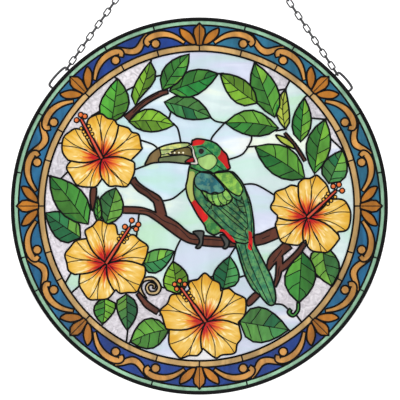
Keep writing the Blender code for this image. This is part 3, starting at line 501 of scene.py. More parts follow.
def ribbon(marks):
    """Closed strip along centre-line marks (x, z, half width)."""
    path = rounded(marks, closed=False)
    left, right = [], []
    for i, (x, z, half) in enumerate(path):
        px, pz = path[max(i - 1, 0)][:2]
        nx, nz = path[min(i + 1, len(path) - 1)][:2]
        length = math.hypot(nx - px, nz - pz)
        ux, uz = (nx - px) / length, (nz - pz) / length
        left.append((x - uz * half, z + ux * half))
        right.append((x + uz * half, z - ux * half))
    return right + left[::-1]


def polar(degrees, radius):
    angle = math.radians(degrees)
    return (radius * math.cos(angle), radius * math.sin(angle))


def circle(radius):
    return [polar(360.0 * i / CIRCLE_SIDES, radius) for i in range(CIRCLE_SIDES)]


def palmette(degrees):
    """Outline of one palmette, from its foot up one side, over the tip and down the other."""
    height = PALMETTE_TIP_RADIUS - PALMETTE_FOOT_RADIUS

    def mark(half, share):
        radius = PALMETTE_FOOT_RADIUS + height * share
        return polar(degrees + math.degrees(half * PALMETTE_HALF / radius), radius)

    shoulders = [(PALMETTE_FOOT, 0.0)] + PALMETTE_SIDE[::-1]
    right = [mark(-half, share) for half, share in shoulders]
    left = [mark(half, share) for half, share in shoulders]
    return right + [polar(degrees, PALMETTE_TIP_RADIUS)] + left[::-1]


# Plane geometry on loops of (x, z)
def area(loop):
    return 0.5 * sum(a[0] * b[1] - b[0] * a[1] for a, b in zip(loop, loop[1:] + loop[:1]))


def winding(point, loop):
    """Turns of the loop about the point."""
    x, z = point
    turns = 0
    ax, az = loop[-1]
    for bx, bz in loop:
        if (az <= z) != (bz <= z):
            cross = (bx - ax) * (z - az) - (x - ax) * (bz - az)
            if az <= z and cross > 0:
                turns += 1
            elif bz <= z and cross < 0:
                turns -= 1
        ax, az = bx, bz
    return turns


def centroid(verts, triangle):
    return tuple(sum(verts[i][axis] for i in triangle) / 3 for axis in (0, 1))


def pieces(verts, triangles, chosen, walls=frozenset()):
    """The connected groups of the chosen triangles, largest first."""
    owner = {}
    for t in chosen:
        for a, b in zip(triangles[t], triangles[t][1:] + triangles[t][:1]):
            owner.setdefault(frozenset((a, b)), []).append(t)
    joined = {t: [] for t in chosen}
    for edge, members in owner.items():
        if len(members) == 2 and edge not in walls:
            joined[members[0]].append(members[1])
            joined[members[1]].append(members[0])
    left, groups = set(chosen), []
    while left:
        stack, group = [left.pop()], []
        while stack:
            t = stack.pop()
            group.append(t)
            for other in joined[t]:
                if other in left:
                    left.discard(other)
                    stack.append(other)
        groups.append(group)
    return sorted(groups, key=lambda g: -sum(area([verts[i] for i in triangles[t]]) for t in g))


def side_faces(rows, around, sides):
    """Four-cornered faces from each row of corners to the next, the last of around rows meeting the first."""
    faces = []
    for i in range(rows):
        for k in range(sides):
            a, b = i * sides + k, i * sides + (k + 1) % sides
            c, d = (i + 1) % around * sides + (k + 1) % sides, (i + 1) % around * sides + k
            faces.append((a, b, c, d))
    return faces


def tube(path, radius, sides, closed, plane_normal):
    """Corners and faces of a wire along a path in a plane, its flat side towards the path's left."""
    corners = []
    count = len(path)
    for i, here in enumerate(path):
        before = path[i - 1] if closed or i else here
        after = path[(i + 1) % count] if closed or i < count - 1 else here
        back, ahead = (here - before), (after - here)
        back = back.normalized() if back.length else ahead.normalized()
        ahead = ahead.normalized() if ahead.length else back
        along = (back + ahead).normalized()
        left = plane_normal.cross(along).normalized()
        stretch = 1 / max(along.dot(ahead), 0.3)
        for k in range(sides):
            angle = math.pi / sides + 2 * math.pi * k / sides
            corners.append(
                here + left * (radius * math.cos(angle) * stretch) + plane_normal * (radius * math.sin(angle))
            )
    faces = side_faces(count if closed else count - 1, count, sides)
    if not closed:
        faces.append(tuple(range(sides))[::-1])
        faces.append(tuple((count - 1) * sides + k for k in range(sides)))
    return corners, faces


def leaf_lines(base, tip, left, right):
    """Midrib and side veins of a leaf."""
    ax, az = tip[0] - base[0], tip[1] - base[1]
    length = math.hypot(ax, az)
    ux, uz = ax / length, az / length
    off = [-(w[0] - base[0]) * uz + (w[1] - base[1]) * ux for w in (left, right)]

    def at(t, across):
        bow = (off[0] + off[1]) / 2 * math.sin(math.pi * t)
        reach = (off[0] if across > 0 else off[1]) - (off[0] + off[1]) / 2
        out = bow + abs(across) * reach * math.sin(math.pi * t) ** LEAF_FULLNESS
        return (base[0] + ax * t - uz * out, base[1] + az * t + ux * out)

    lines = [[at(t / 8, 0) for t in range(9)]]
    for side, shares in LEAF_VEINS:
        for t in shares:
            end = min(t + VEIN_RISE, VEIN_END)
            lines.append([at(t, 0), at(t + VEIN_BEND, side * 0.5), at(end, side * 1.0)])
    return lines


def petal_lines(heart, rims):
    """Joints between petals, and the veins of each petal, all running to the flower's heart."""
    joints, veins = [], []
    hx, hz = heart

    def run(x, z, bow, stop):
        dx, dz = hx - x, hz - z
        return [(x + dx * t * stop - dz * bow * math.sin(math.pi * t),
                 z + dz * t * stop + dx * bow * math.sin(math.pi * t))
                for t in (k / 6 for k in range(7))]

    for i, rim in enumerate(rims):
        start, before = rim[0], rims[i - 1][-1]
        x, z = (start[0] + before[0]) / 2, (start[1] + before[1]) / 2
        joints.append(run(x, z, PETAL_JOINT_BOW if i % 2 else -PETAL_JOINT_BOW, PETAL_JOINT_END))
        for share, bow, stop in PETAL_VEINS:
            veins.append(run(*rim[int(share * (len(rim) - 1) + 0.5)], bow, stop))
    return joints, veins


def split_plane(loops, lines):
    """Triangles of the plane cut by loops and lines, with the sources of every cut edge.

    loops and lines are lists of (tag, marks); a tag comes back for each edge that lies on it.
    """
    points, edges, tags = [], [], []
    for closed, group in ((True, loops), (False, lines)):
        for tag, marks in group:
            first, count = len(points), len(marks)
            points += [Vector(p) for p in marks]
            for i in range(count if closed else count - 1):
                edges.append((first + i, first + (i + 1) % count))
                tags.append(tag)
    verts, out_edges, faces, _, edge_from, _ = delaunay_2d_cdt(points, edges, [], 0, 1e-3)
    cut = {frozenset(e): {tags[s] for s in source} for e, source in zip(out_edges, edge_from) if source}
    verts = [tuple(v) for v in verts]
    triangles = []
    for face in faces:
        triangles.append(tuple(face) if area([verts[i] for i in face]) > 0 else tuple(face[::-1]))
    return verts, triangles, cut


def label(verts, triangles, regions):
    """The first region of (name, loop) that holds each triangle's middle, or an empty name."""
    boxed, outlines = [], dict(regions)
    for name, loop in regions:
        xs, zs = [p[0] for p in loop], [p[1] for p in loop]
        boxed.append((name, loop, min(xs), max(xs), min(zs), max(zs)))
    labels = []
    for triangle in triangles:
        x, z = centroid(verts, triangle)
        found = ""
        for name, loop, low_x, high_x, low_z, high_z in boxed:
            if low_x <= x <= high_x and low_z <= z <= high_z and winding((x, z), loop):
                owner = name[6:].split(":")[0] if name.startswith("patch_") else name
                if owner == name or winding((x, z), outlines[owner]):
                    found = name
                    break
        labels.append(found)
    return labels


def seen_lines(triangles, labels, cut):
    """The cut edges that show, by width class: outline, joint or vein."""
    sides = {}
    for t, triangle in enumerate(triangles):
        for a, b in zip(triangle, triangle[1:] + triangle[:1]):
            sides.setdefault(frozenset((a, b)), []).append(labels[t])
    classes = {"outline": [], "joint": [], "vein": []}
    for edge, tags in cut.items():
        near = sides.get(edge, [])
        if len(near) == 2 and near[0] != near[1]:
            inside = all(name.startswith(("patch", "bird")) for name in near)
            if inside and any(name.split(":")[-1] in SOFT_EDGED for name in near):
                continue
            thin = inside and any(name.endswith((":band", ":cheek")) for name in near)
            classes["vein" if thin else "joint" if inside else "outline"].append(tuple(edge))
            continue
        for owner, kind in tags:
            if near and near[0].split(":")[0].removeprefix("patch_") == owner and kind != "edge":
                classes[kind].append(tuple(edge))
                break
    return classes


def jitter(seed):
    """A number from 0 to 1 that stays the same for the same seed."""
    return math.modf(abs(math.sin(seed * 12.9898 + 4.1) * 43758.5453))[0]


def mixed(a, b, t):
    return tuple(x + (y - x) * t for x, y in zip(a, b))


def spread(limits, chance):
    """A value between a lowest one and that plus its range."""
    low, span = limits
    return low + span * chance


def picked(tints, chance):
    return tints[int(chance * (len(tints) - 0.01))]


def facet_colour(name, middle, number, sizes):
    """The glass colour of a facet, with 1 as its last value where the glass isn't mottled."""
    chance = jitter(number * 1.7 + middle[0] * 0.31 + middle[1] * 0.17)
    shade = spread(FACET_SHADE, chance)
    key = name.split(":")[-1]
    if name.startswith("flower"):
        colour = tuple(sizes.petal_colour)
    elif key in ("ring_gold", "ring_green"):
        colour = tuple(sizes.gold_ring_colour if key == "ring_gold" else sizes.green_ring_colour)
    elif key == "brown" or name.startswith("branch"):
        colour = tuple(sizes.branch_colour)
        shade = spread(BRANCH_SHADE, chance)
    elif key in PAINT:
        colour = PAINT[key]
    elif name.startswith("leaf_upper_right_yellow"):
        colour = PAINT["yellow_green"]
    elif name.startswith("leaf"):
        colour, shade = leaf_colour(name, middle, chance)
    elif name.startswith("border"):
        colour = mixed(picked(BLUE_TINTS, chance), tuple(sizes.band_colour), BAND_COLOUR_SHARE)
    elif name.startswith("palmette"):
        colour = PAINT["amber"]
    elif name.startswith("bird"):
        colour = PAINT[name[5:]]
    else:
        crinkled = math.hypot(*middle) > OUTER_PANE_RADIUS and chance < CRINKLED_SHARE
        tints = OUTER_TINTS if crinkled else CLEAR_TINTS
        colour = picked(tints, jitter(number + 0.5))
        shade = spread(CLEAR_SHADE, jitter(number))
        return tuple(c * shade for c in colour) + (0.0 if crinkled else 1.0,)
    even = 0.0 if name.startswith(MOTTLED) else 1.0
    return tuple(min(c * shade, 0.95) for c in colour) + (even,)


def leaf_colour(name, middle, chance):
    """One tint for a leaf, a light half and a dark one, and fresher green mixed at random into some facets,
    more on the light half.
    """
    group, number = name.split("~")
    base, tip = LEAVES[group][int(number)][:2]
    side = (tip[0] - base[0]) * (middle[1] - base[1]) - (tip[1] - base[1]) * (middle[0] - base[0])
    tone = LEAF_TONES.get(name, LEAF_TONES.get(group, jitter(base[0] * 0.7 + tip[1])))
    light = side > 0 if tone > 0.5 else side < 0
    fresh = FRESH_SHARES[0] if light else FRESH_SHARES[1]
    return mixed(picked(LEAF_TINTS, tone), LEAF_FRESH, fresh * chance), LEAF_LIGHT if light else 1.0


# Blender helpers
def linked(name, content):
    obj = bpy.data.objects.new(name, content)
    bpy.context.scene.collection.objects.link(obj)
    return obj


def meshed(name, corners, edges, faces):
    mesh = bpy.data.meshes.new(name)
    mesh.from_pydata(corners, edges, faces)
    return linked(name, mesh)


def from_bmesh(name, made):
    mesh = bpy.data.meshes.new(name)
    made.to_mesh(mesh)
    made.free()
    return linked(name, mesh)


def finished(obj, material, slot, nodes=()):
    """Gives the material, ties the piece to the frame and hides the CAD solids it stands for."""
    obj.data.materials.clear()
    obj.data.materials.append(material)
    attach(obj, "root")
    if nodes:
        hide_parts(*nodes)
    return obj


def glass_object(name, verts, triangles, facets, sizes):
    """A slab of glass from facets, each (title, triangle numbers), with their colours on its corners."""
    corners, faces, colours, index = [], [], [], {}
    half = sizes.glass_thickness / MM / 2
    arcs = {}
    for number, (title, group) in enumerate(facets):
        tint = facet_colour(title, centroid(verts, triangles[group[0]]), number, sizes)
        for t in group:
            tri = triangles[t]
            for i in tri:
                if i not in index:
                    index[i] = len(corners)
                    corners += [(verts[i][0], -half, verts[i][1]), (verts[i][0], half, verts[i][1])]
            a, b, c = (index[i] for i in tri)
            faces += [(a, b, c), (c + 1, b + 1, a + 1)]
            colours += [tint] * 6
            for k in range(3):
                arcs[(tri[k], tri[(k + 1) % 3])] = tint
    for (a, b), tint in arcs.items():
        if (b, a) not in arcs:
            faces.append((index[b], index[a], index[a] + 1, index[b] + 1))
            colours += [tint] * 4
    placed = [((x + PANEL_SHIFT) * MM, y * MM, (z - PANEL_DROP) * MM) for x, y, z in corners]
    obj = meshed(name, placed, [], faces)
    layer = obj.data.color_attributes.new("glass_colour", "FLOAT_COLOR", "CORNER")
    for item, colour in zip(layer.data, colours):
        item.color = colour
    return obj


def node(tree, kind, settings, *values, **inputs):
    """A node with its settings; its inputs take plain values or sockets to link, in order or by name."""
    made = tree.nodes.new(kind)
    for key, value in settings.items():
        setattr(made, key, value)
    named = [(made.inputs[title.replace("_", " ")], value) for title, value in inputs.items()]
    for socket, value in list(zip(made.inputs, values)) + named:
        if isinstance(value, bpy.types.NodeSocket):
            tree.links.new(value, socket)
        else:
            socket.default_value = value
    return made


def math_node(tree, operation, *values):
    return node(tree, "ShaderNodeMath", {"operation": operation}, *values).outputs["Value"]


def object_place(tree):
    return node(tree, "ShaderNodeTexCoord", {}).outputs["Object"]


def noise(tree, place, scale, detail, distortion=0.0):
    texture = node(
        tree, "ShaderNodeTexNoise", {}, Vector=place, Scale=scale, Detail=detail, Distortion=distortion,
    )
    return texture.outputs["Fac"]


def ranged(tree, value, low, high, bottom=0.0, top=1.0):
    """The value read as bottom at low and top at high, and held there beyond them."""
    made = node(
        tree, "ShaderNodeMapRange", {},
        Value=value, From_Min=low, From_Max=high, To_Min=bottom, To_Max=top,
    )
    return made.outputs["Result"]


def blended(tree, share, first, second):
    made = node(tree, "ShaderNodeMix", {"data_type": "RGBA"}, Factor=share, A=first, B=second)
    return made.outputs["Result"]


def shaded(tree, colour, shade):
    made = node(tree, "ShaderNodeVectorMath", {"operation": "SCALE"}, colour, Scale=shade)
    return made.outputs["Vector"]


def ramp(tree, value, stops):
    """The colour at a value, from (position, colour) stops in rising order."""
    made = node(tree, "ShaderNodeValToRGB", {}, Fac=value)
    elements = made.color_ramp.elements
    for element, (position, colour) in ((elements[0], stops[0]), (elements[1], stops[-1])):
        element.position, element.color = position, colour + (1.0,)
    for position, colour in stops[1:-1]:
        elements.new(position).color = colour + (1.0,)
    return made.outputs["Color"]


def principled(name, roughness, transmission, specular):
    """A new material with plain values on its Principled shader, its node tree and its base colour socket."""
    material = bpy.data.materials.new(name)
    material.use_nodes = True
    main = material.node_tree.nodes["Principled BSDF"]
    main.inputs["Roughness"].default_value = roughness
    main.inputs["Transmission Weight"].default_value = transmission
    main.inputs["Specular IOR Level"].default_value = specular
    return material, material.node_tree, main.inputs["Base Color"]


def shader(name, colour, roughness, transmission=0.0, attribute=False, streak=0.0, scale=60.0, mottled=False,
           specular=0.5):
    """A Principled material; attribute reads the facet colours, and streak mixes in an uneven tone."""
    material = bpy.data.materials.get(name)
    if material:
        return material
    material, tree, base = principled(name, roughness, transmission, specular)
    base.default_value = colour + (1.0,)
    source = colour
    if attribute:
        tint = node(tree, "ShaderNodeAttribute", {"attribute_name": "glass_colour"})
        source = tint.outputs["Color"]
    if streak:
        place = object_place(tree)
        laid = node(tree, "ShaderNodeMapping", {}, Vector=place, Rotation=STREAK_TURN, Scale=STREAK_STRETCH)
        uneven = noise(tree, laid.outputs["Vector"], scale, STREAK_DETAIL, STREAK_BEND)
        source = shaded(tree, source, ranged(tree, uneven, *STREAK_RANGE, 1.0 - streak, 1.0 + streak))
    if mottled:
        spots = ranged(tree, noise(tree, place, MOTTLE_SCALE, MOTTLE_DETAIL), *MOTTLE_RANGE)
        share = math_node(tree, "MULTIPLY", spots, math_node(tree, "SUBTRACT", 1.0, tint.outputs["Alpha"]))
        lighter = node(tree, "ShaderNodeVectorMath", {"operation": "MULTIPLY_ADD"}, source, *MOTTLE_LIGHT)
        source = blended(tree, share, source, lighter.outputs["Vector"])
    if isinstance(source, bpy.types.NodeSocket):
        tree.links.new(source, base)
    return material


def glass_material():
    return shader("streaky_glass", (0.5, 0.5, 0.5), 0.12, transmission=0.25, attribute=True, streak=0.3,
                  scale=75.0, mottled=True, specular=0.22)


def clear_material():
    """Pale glass with a tint that drifts in long streaks of mint, blue and lilac, crinkled near the rim."""
    material = shader("pale_glass", (0.8, 0.85, 0.9), 0.08, transmission=0.45, attribute=True, streak=0.10,
                      scale=45.0, specular=0.3)
    tree = material.node_tree
    if any(item.type == "VALTORGB" for item in tree.nodes):
        return material
    base, tint = tree.nodes["Principled BSDF"].inputs["Base Color"], tree.nodes["Attribute"]
    place = object_place(tree)
    laid = node(tree, "ShaderNodeMapping", {}, Vector=place, Rotation=DRIFT_TURN, Scale=DRIFT_STRETCH)
    drift = ramp(tree, noise(tree, laid.outputs["Vector"], 1.0, DRIFT_DETAIL, DRIFT_BEND), DRIFT_STOPS)
    share = math_node(tree, "MULTIPLY", tint.outputs["Alpha"], DRIFT_SHARE)
    even = blended(tree, share, base.links[0].from_socket, drift)
    crinkle = ranged(tree, noise(tree, place, CRINKLE_SCALE, CRINKLE_DETAIL, CRINKLE_BEND), *CRINKLE_RANGE)
    grey = shaded(tree, tint.outputs["Color"], crinkle)
    tree.links.new(blended(tree, tint.outputs["Alpha"], grey, even), base)
    return material


def lead_material(sizes):
    return shader("lead", tuple(sizes.lead_colour), 0.5, streak=0.25, scale=220.0, specular=0.1)


def wire_material(sizes):
    return shader("dark_wire", tuple(sizes.wire_colour), 0.4, specular=0.12)


def petal_material(name, sizes):
    """Yellow glass with a red heart that runs out in streaks, pale strokes half way and deeper rims."""
    material, tree, base = principled("petals_" + name, 0.12, 0.2, 0.25)
    heart_x, heart_z = HEARTS[name]
    heart = ((heart_x + PANEL_SHIFT) * MM, 0.0, (heart_z - PANEL_DROP) * MM)
    shift = node(tree, "ShaderNodeVectorMath", {"operation": "SUBTRACT"}, object_place(tree), heart)
    split = node(tree, "ShaderNodeSeparateXYZ", {}, shift.outputs["Vector"])
    x, z = split.outputs["X"], split.outputs["Z"]

    def reckoned(operation, *values):
        return math_node(tree, operation, *values)

    squares = reckoned("ADD", reckoned("MULTIPLY", x, x), reckoned("MULTIPLY", z, z))
    distance = reckoned("DIVIDE", reckoned("SQRT", squares), MM)
    turn = reckoned("ARCTAN2", z, x)

    def rays(across, along, detail):
        """Noise drawn out from the heart."""
        fan = node(
            tree, "ShaderNodeCombineXYZ", {},
            reckoned("MULTIPLY", turn, across), reckoned("MULTIPLY", distance, along),
        )
        return noise(tree, fan.outputs["Vector"], 1.0, detail)

    uneven = reckoned("SUBTRACT", rays(*HEART_RAYS), 0.5)
    reach = reckoned("ADD", distance, reckoned("MULTIPLY", uneven, HEART_SPREAD))
    petal = tuple(sizes.petal_colour)
    glass = ramp(tree, reckoned("DIVIDE", reach, PETAL_REACH), [
        (0.14, HEART_RED), (0.24, HEART_ORANGE), (0.35, petal), (0.50, mixed(petal, PETAL_LIGHT, 0.35)),
        (0.66, petal), (0.88, PETAL_RIM),
    ])
    strength = GLOSS_STRENGTH
    for value, limits in ((rays(*GLOSS_RAYS), GLOSS_RANGE), (distance, GLOSS_STARTS), (distance, GLOSS_ENDS)):
        strength = reckoned("MULTIPLY", ranged(tree, value, *limits), strength)
    tree.links.new(blended(tree, strength, glass, PETAL_GLOSS + (1.0,)), base)
    return material


def node_group(name, sockets):
    """A geometry node group with named inputs and a Geometry output."""
    group = bpy.data.node_groups.new(name, "GeometryNodeTree")
    for title, kind in sockets:
        group.interface.new_socket(title, in_out="INPUT", socket_type=kind)
    group.interface.new_socket("Geometry", in_out="OUTPUT", socket_type="NodeSocketGeometry")
    return group, group.nodes.new("NodeGroupInput"), group.nodes.new("NodeGroupOutput")


def ended(group, geometry, material, result):
    """Ends a node group in Realize Instances and Set Material."""
    real = node(group, "GeometryNodeRealizeInstances", {}, Geometry=geometry).outputs["Geometry"]
    paint = node(group, "GeometryNodeSetMaterial", {}, Geometry=real, Material=material)
    group.links.new(paint.outputs["Geometry"], result.inputs["Geometry"])


def bead_group():
    """Sweeps a flattened round bead along the edges of a flat mesh."""
    found = bpy.data.node_groups.get("Lead bead")
    if found:
        return found
    group, source, result = node_group("Lead bead", [
        ("Geometry", "NodeSocketGeometry"), ("Half width", "NodeSocketFloat"),
        ("Half depth", "NodeSocketFloat"), ("Material", "NodeSocketMaterial"),
    ])
    given = source.outputs
    path = node(group, "GeometryNodeMeshToCurve", {}, Mesh=given["Geometry"])
    upright = node(group, "GeometryNodeSetCurveNormal", {"mode": "Z_UP"}, Curve=path.outputs["Curve"])
    ring = node(group, "GeometryNodeCurvePrimitiveCircle", {}, Resolution=BEAD_SIDES, Radius=1.0)
    shape = node(group, "ShaderNodeCombineXYZ", {}, given["Half width"], given["Half depth"], 1.0)
    section = node(
        group, "GeometryNodeTransform", {}, Geometry=ring.outputs["Curve"], Scale=shape.outputs["Vector"],
    )
    sweep = node(
        group, "GeometryNodeCurveToMesh", {},
        Curve=upright.outputs["Curve"], Profile_Curve=section.outputs["Geometry"], Fill_Caps=True,
    )
    ended(group, sweep.outputs["Mesh"], given["Material"], result)
    return group


def chain_group():
    """Places a link along a straight strand, every second one turned by a quarter."""
    found = bpy.data.node_groups.get("Chain strand")
    if found:
        return found
    group, source, result = node_group("Chain strand", [
        ("Geometry", "NodeSocketGeometry"), ("Link", "NodeSocketObject"), ("Start", "NodeSocketVector"),
        ("End", "NodeSocketVector"), ("Count", "NodeSocketInt"), ("Turn", "NodeSocketVector"),
        ("Material", "NodeSocketMaterial"),
    ])
    given = source.outputs
    line = node(
        group, "GeometryNodeMeshLine", {"mode": "END_POINTS"},
        Count=given["Count"], Start_Location=given["Start"], Offset=given["End"],
    )
    shape = node(group, "GeometryNodeObjectInfo", {}, Object=given["Link"])
    spread = node(
        group, "GeometryNodeInstanceOnPoints", {},
        Points=line.outputs["Mesh"], Instance=shape.outputs["Geometry"], Rotation=given["Turn"],
    )
    odd = math_node(group, "MODULO", node(group, "GeometryNodeInputIndex", {}).outputs["Index"], 2.0)
    angle = node(group, "ShaderNodeCombineXYZ", {}, Z=math_node(group, "MULTIPLY", odd, math.pi / 2))
    turned = node(
        group, "GeometryNodeRotateInstances", {},
        Instances=spread.outputs["Instances"], Rotation=angle.outputs["Vector"],
    )
    ended(group, turned.outputs["Instances"], given["Material"], result)
    return group


def evaluated(obj, group, values):
    """Runs a node group on the object with the inputs set by name, and leaves a plain mesh."""
    run = obj.modifiers.new(group.name, "NODES")
    run.node_group = group
    for item in group.interface.items_tree:
        if item.in_out == "INPUT" and item.name in values:
            run[item.identifier] = values[item.name]
    obj.update_tag()
    bpy.context.view_layer.update()
    made = bpy.data.meshes.new_from_object(obj.evaluated_get(bpy.context.evaluated_depsgraph_get()))
    obj.modifiers.clear()
    obj.data = made
    if not len(made.polygons):
        raise RuntimeError(group.name + " made no mesh for " + obj.name)
    return obj


def beads_along(name, verts, edges, half_width, half_depth, sizes):
    """Lead beads along edges of the plane."""
    used = sorted({i for edge in edges for i in edge})
    index = {v: k for k, v in enumerate(used)}
    marks = [(verts[i][0] * MM, verts[i][1] * MM, 0) for i in used]
    obj = meshed(name, marks, [(index[a], index[b]) for a, b in edges], [])
    evaluated(obj, bead_group(), {
        "Half width": half_width * MM, "Half depth": half_depth * MM, "Material": lead_material(sizes),
    })
    lay = Matrix.Translation((PANEL_SHIFT * MM, 0, -PANEL_DROP * MM)) @ Matrix.Rotation(math.pi / 2, 4, "X")
    obj.data.transform(lay)
    obj.data.shade_smooth()
    return obj


def joined(name, objects):
    """One object from several, under the given name."""
    merged = bmesh.new()
    for obj in objects:
        merged.from_mesh(obj.data)
        bpy.data.objects.remove(obj)
    return from_bmesh(name, merged)


def solid_object(name, corners, faces):
    obj = meshed(name, [(x * MM, y * MM, z * MM) for x, y, z in corners], [], faces)
    obj.data.shade_smooth()
    return obj


def wire(name, path, radius, sides, closed):
    """A round wire along a path in the panel's plane."""
    corners, faces = tube(path, radius, sides, closed, FRONT_TO_BACK)
    return solid_object(name, [tuple(corner) for corner in corners], faces)


def panel_point(degrees, radius):
    x, z = polar(degrees, radius)
    return Vector((x + PANEL_SHIFT, 0, z - PANEL_DROP))


def groups_of(verts, triangles, labels, cut):
    """The facets of every label: name to a list of triangle groups."""
    chosen = {}
    for t, name in enumerate(labels):
        if name:
            chosen.setdefault(name, []).append(t)
    walls = set(cut)
    return {name: pieces(verts, triangles, members, walls) for name, members in chosen.items()}


# Regions and lines of the picture
def picture_regions():
    """Every outline with its name, front ones first; a patch's name holds its owner and its colour."""
    regions = []
    for x, z in TEETH:
        tooth = [(x - TOOTH, z), (x, z - TOOTH), (x + TOOTH, z), (x, z + TOOTH)]
        regions.append(("patch_bird_beak:tooth", tooth))
    regions.append(("patch_bird_beak:band", ribbon(BEAK_BAND)))
    regions += [("patch_%s:%s" % (owner, colour), rounded(marks, True)) for owner, colour, marks in PATCHES]
    regions += [(name, rounded(marks, True)) for name, marks in BIRD.items() if name != "bird_tail"]
    regions += [("extra_%s:%s" % (name, colour), rounded(marks, True)) for name, colour, marks in EXTRAS[:2]]
    regions.append(("bird_tail", rounded(BIRD["bird_tail"], True)))
    for name, rims in FLOWERS.items():
        regions.append((name, [mark for rim in rims for mark in rounded(rim, False)]))
    regions += [(name, ribbon(marks)) for name, strips in BRANCHES.items() for marks in strips]
    regions += [("extra_%s:%s" % (name, colour), rounded(marks, True)) for name, colour, marks in EXTRAS[2:]]
    regions += [("extra_%s:%s" % (name, colour), ribbon(marks)) for name, colour, marks in EXTRA_STRIPS]
    for name, group in LEAVES.items():
        regions += [(name + ("~%d" % i), leaf(*marks)) for i, marks in enumerate(group)]
    return regions


def picture_lines():
    """Lines inside the motifs, each with its owner and width class."""
    lines = []
    for name, rims in FLOWERS.items():
        joints, veins = petal_lines(HEARTS[name], rims)
        lines += [((name, "outline"), marks) for marks in joints]
        lines += [((name, "vein"), marks) for marks in veins]
        lines.append(((name, "vein"), stamen_line(name)))
    for name, group in LEAVES.items():
        for i, marks in enumerate(group):
            lines += [((name + "~%d" % i, "vein"), line) for line in leaf_lines(*marks)]
    for owner, group in INNER_LINES.items():
        lines += [((owner, "vein"), rounded(marks, False)) for marks in group]
    for name, strips in BRANCHES.items():
        thick = [marks for marks in strips if max(mark[2] for mark in marks) > GROOVED_HALF]
        lines += [((name, "vein"), groove(marks)) for marks in thick]
    lines += [(("clear", "outline"), reaching(rounded(marks, False))) for marks in CLEAR_LINES]
    return lines


def reaching(line):
    """The line with both ends drawn out, so that it meets the motif or ring it runs to."""
    ends = []
    for (ax, az), (bx, bz) in ((line[0], line[1]), (line[-1], line[-2])):
        far = math.hypot(ax - bx, az - bz)
        ends.append((ax + (ax - bx) / far * LINE_REACH, az + (az - bz) / far * LINE_REACH))
    return [ends[0]] + line + [ends[1]]


def groove(marks):
    """A wavering dark groove along a branch, a little off its middle."""
    line = []
    for i, (x, z, half) in enumerate(marks[1:-1]):
        ax, az = marks[i][:2]
        bx, bz = marks[i + 2][:2]
        far = math.hypot(bx - ax, bz - az)
        off = half * (GROOVE_OFF[0] if i % 3 else GROOVE_OFF[1])
        line.append((x - (bz - az) / far * off, z + (bx - ax) / far * off))
    return rounded(line, False) if len(line) > 2 else [marks[1][:2], marks[-2][:2]]


def stamen_line(name):
    (hx, hz), (x, z) = HEARTS[name], STAMENS[name][0]
    return [(hx + (x - hx) * k / 4, hz + (z - hz) * k / 4) for k in range(5)]


def owner_node(title):
    """The CAD solid a facet belongs to, or an empty name."""
    if title.startswith("patch_"):
        return title[6:].split(":")[0]
    if title.startswith(("extra_", "clear")):
        return ""
    return title.split("~")[0]


def build_picture_glass(sizes):
    disc = circle(PICTURE_LINE_RADIUS)
    regions = picture_regions()
    loops = [(("", "edge"), disc)] + [((name, "edge"), loop) for name, loop in regions]
    verts, triangles, cut = split_plane(loops, picture_lines())
    labels = label(verts, triangles, regions + [("clear", disc)])
    facets = groups_of(verts, triangles, labels, cut)
    parts = {}
    for title, groups in facets.items():
        home = owner_node(title) or title.split(":")[0]
        for group in groups:
            parts.setdefault(home, []).append((title, group))
    for home, members in parts.items():
        is_clear = home == "clear"
        obj = glass_object(home + "_glass", verts, triangles, members, sizes)
        stands_for = [home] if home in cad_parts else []
        if is_clear:
            stands_for = [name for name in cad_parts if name.startswith("clear_pane")]
        material = clear_material() if is_clear else glass_material()
        if home in HEARTS:
            material = petal_material(home, sizes)
        finished(obj, material, slot_of(home), stands_for)
    widths = seen_lines(triangles, labels, cut)
    widths["outline"] += seen_ring(verts, cut, PICTURE_LINE_RADIUS)
    beads = lead_beads("picture", verts, widths, sizes)
    finished(beads, lead_material(sizes), "lead_came", ["lead_lines_picture"])


def seen_ring(verts, cut, radius):
    """The cut edges that lie on a circle about the disc's centre."""
    return [tuple(e) for e in cut if all(abs(math.hypot(*verts[i]) - radius) < ON_RING for i in e)]


def lead_beads(name, verts, widths, sizes):
    halves = {"outline": sizes.outline_half, "joint": sizes.joint_half, "vein": sizes.vein_half}
    made = []
    for (kind, edges), share in zip(widths.items(), BEAD_DEPTHS):
        if edges:
            wide, deep = halves[kind] / MM, sizes.lead_depth / MM / 2 * share
            made.append(beads_along(name + kind, verts, sorted(set(edges)), wide, deep, sizes))
    merged = joined(name + "_lead_beads", made)
    merged.data.shade_smooth()
    return merged


def slot_of(home):
    rules = (
        ("leaf_upper_right_yellow", "yellow_glass"), ("leaf", "green_glass"), ("flower", "yellow_glass"),
        ("bird_breast", "red_glass"), ("bird", "bird_glass"), ("branch", "brown_glass"),
        ("palmette", "amber_glass"), ("gold", "amber_glass"), ("scroll", "amber_glass"),
        ("border", "blue_glass"), ("green", "pale_green_glass"), ("extra_stubs", "brown_glass"),
    )
    return next((slot for start, slot in rules if home.startswith(start)), "clear_glass")


def scroll_regions():
    """Scrolls, balls and side leaves of the eight parts of the band."""
    regions = []
    for part in range(8):
        start = EIGHTH * part
        for mirror in (False, True):
            def at(marks):
                return [polar(start + (EIGHTH - u if mirror else u), r) for u, r in marks]

            bx, bz = at([SCROLL_BALL[:2]])[0]
            curl = [at([(u, r)])[0] + (half,) for u, r, half in SCROLL_CURL]
            regions.append(("scroll_balls:gold", round_marks(bx, bz, SCROLL_BALL[2], BALL_TURN, 10)))
            regions.append(("scroll_curls:gold", ribbon(curl)))
            regions.append(("scroll_leaves:amber", rounded(at(SCROLL_LEAF), True)))
        wave = [polar(start + u, r) + (half,) for u, r, half in SCROLL_WAVE]
        regions.append(("scroll_waves:gold", ribbon(wave)))
    return regions


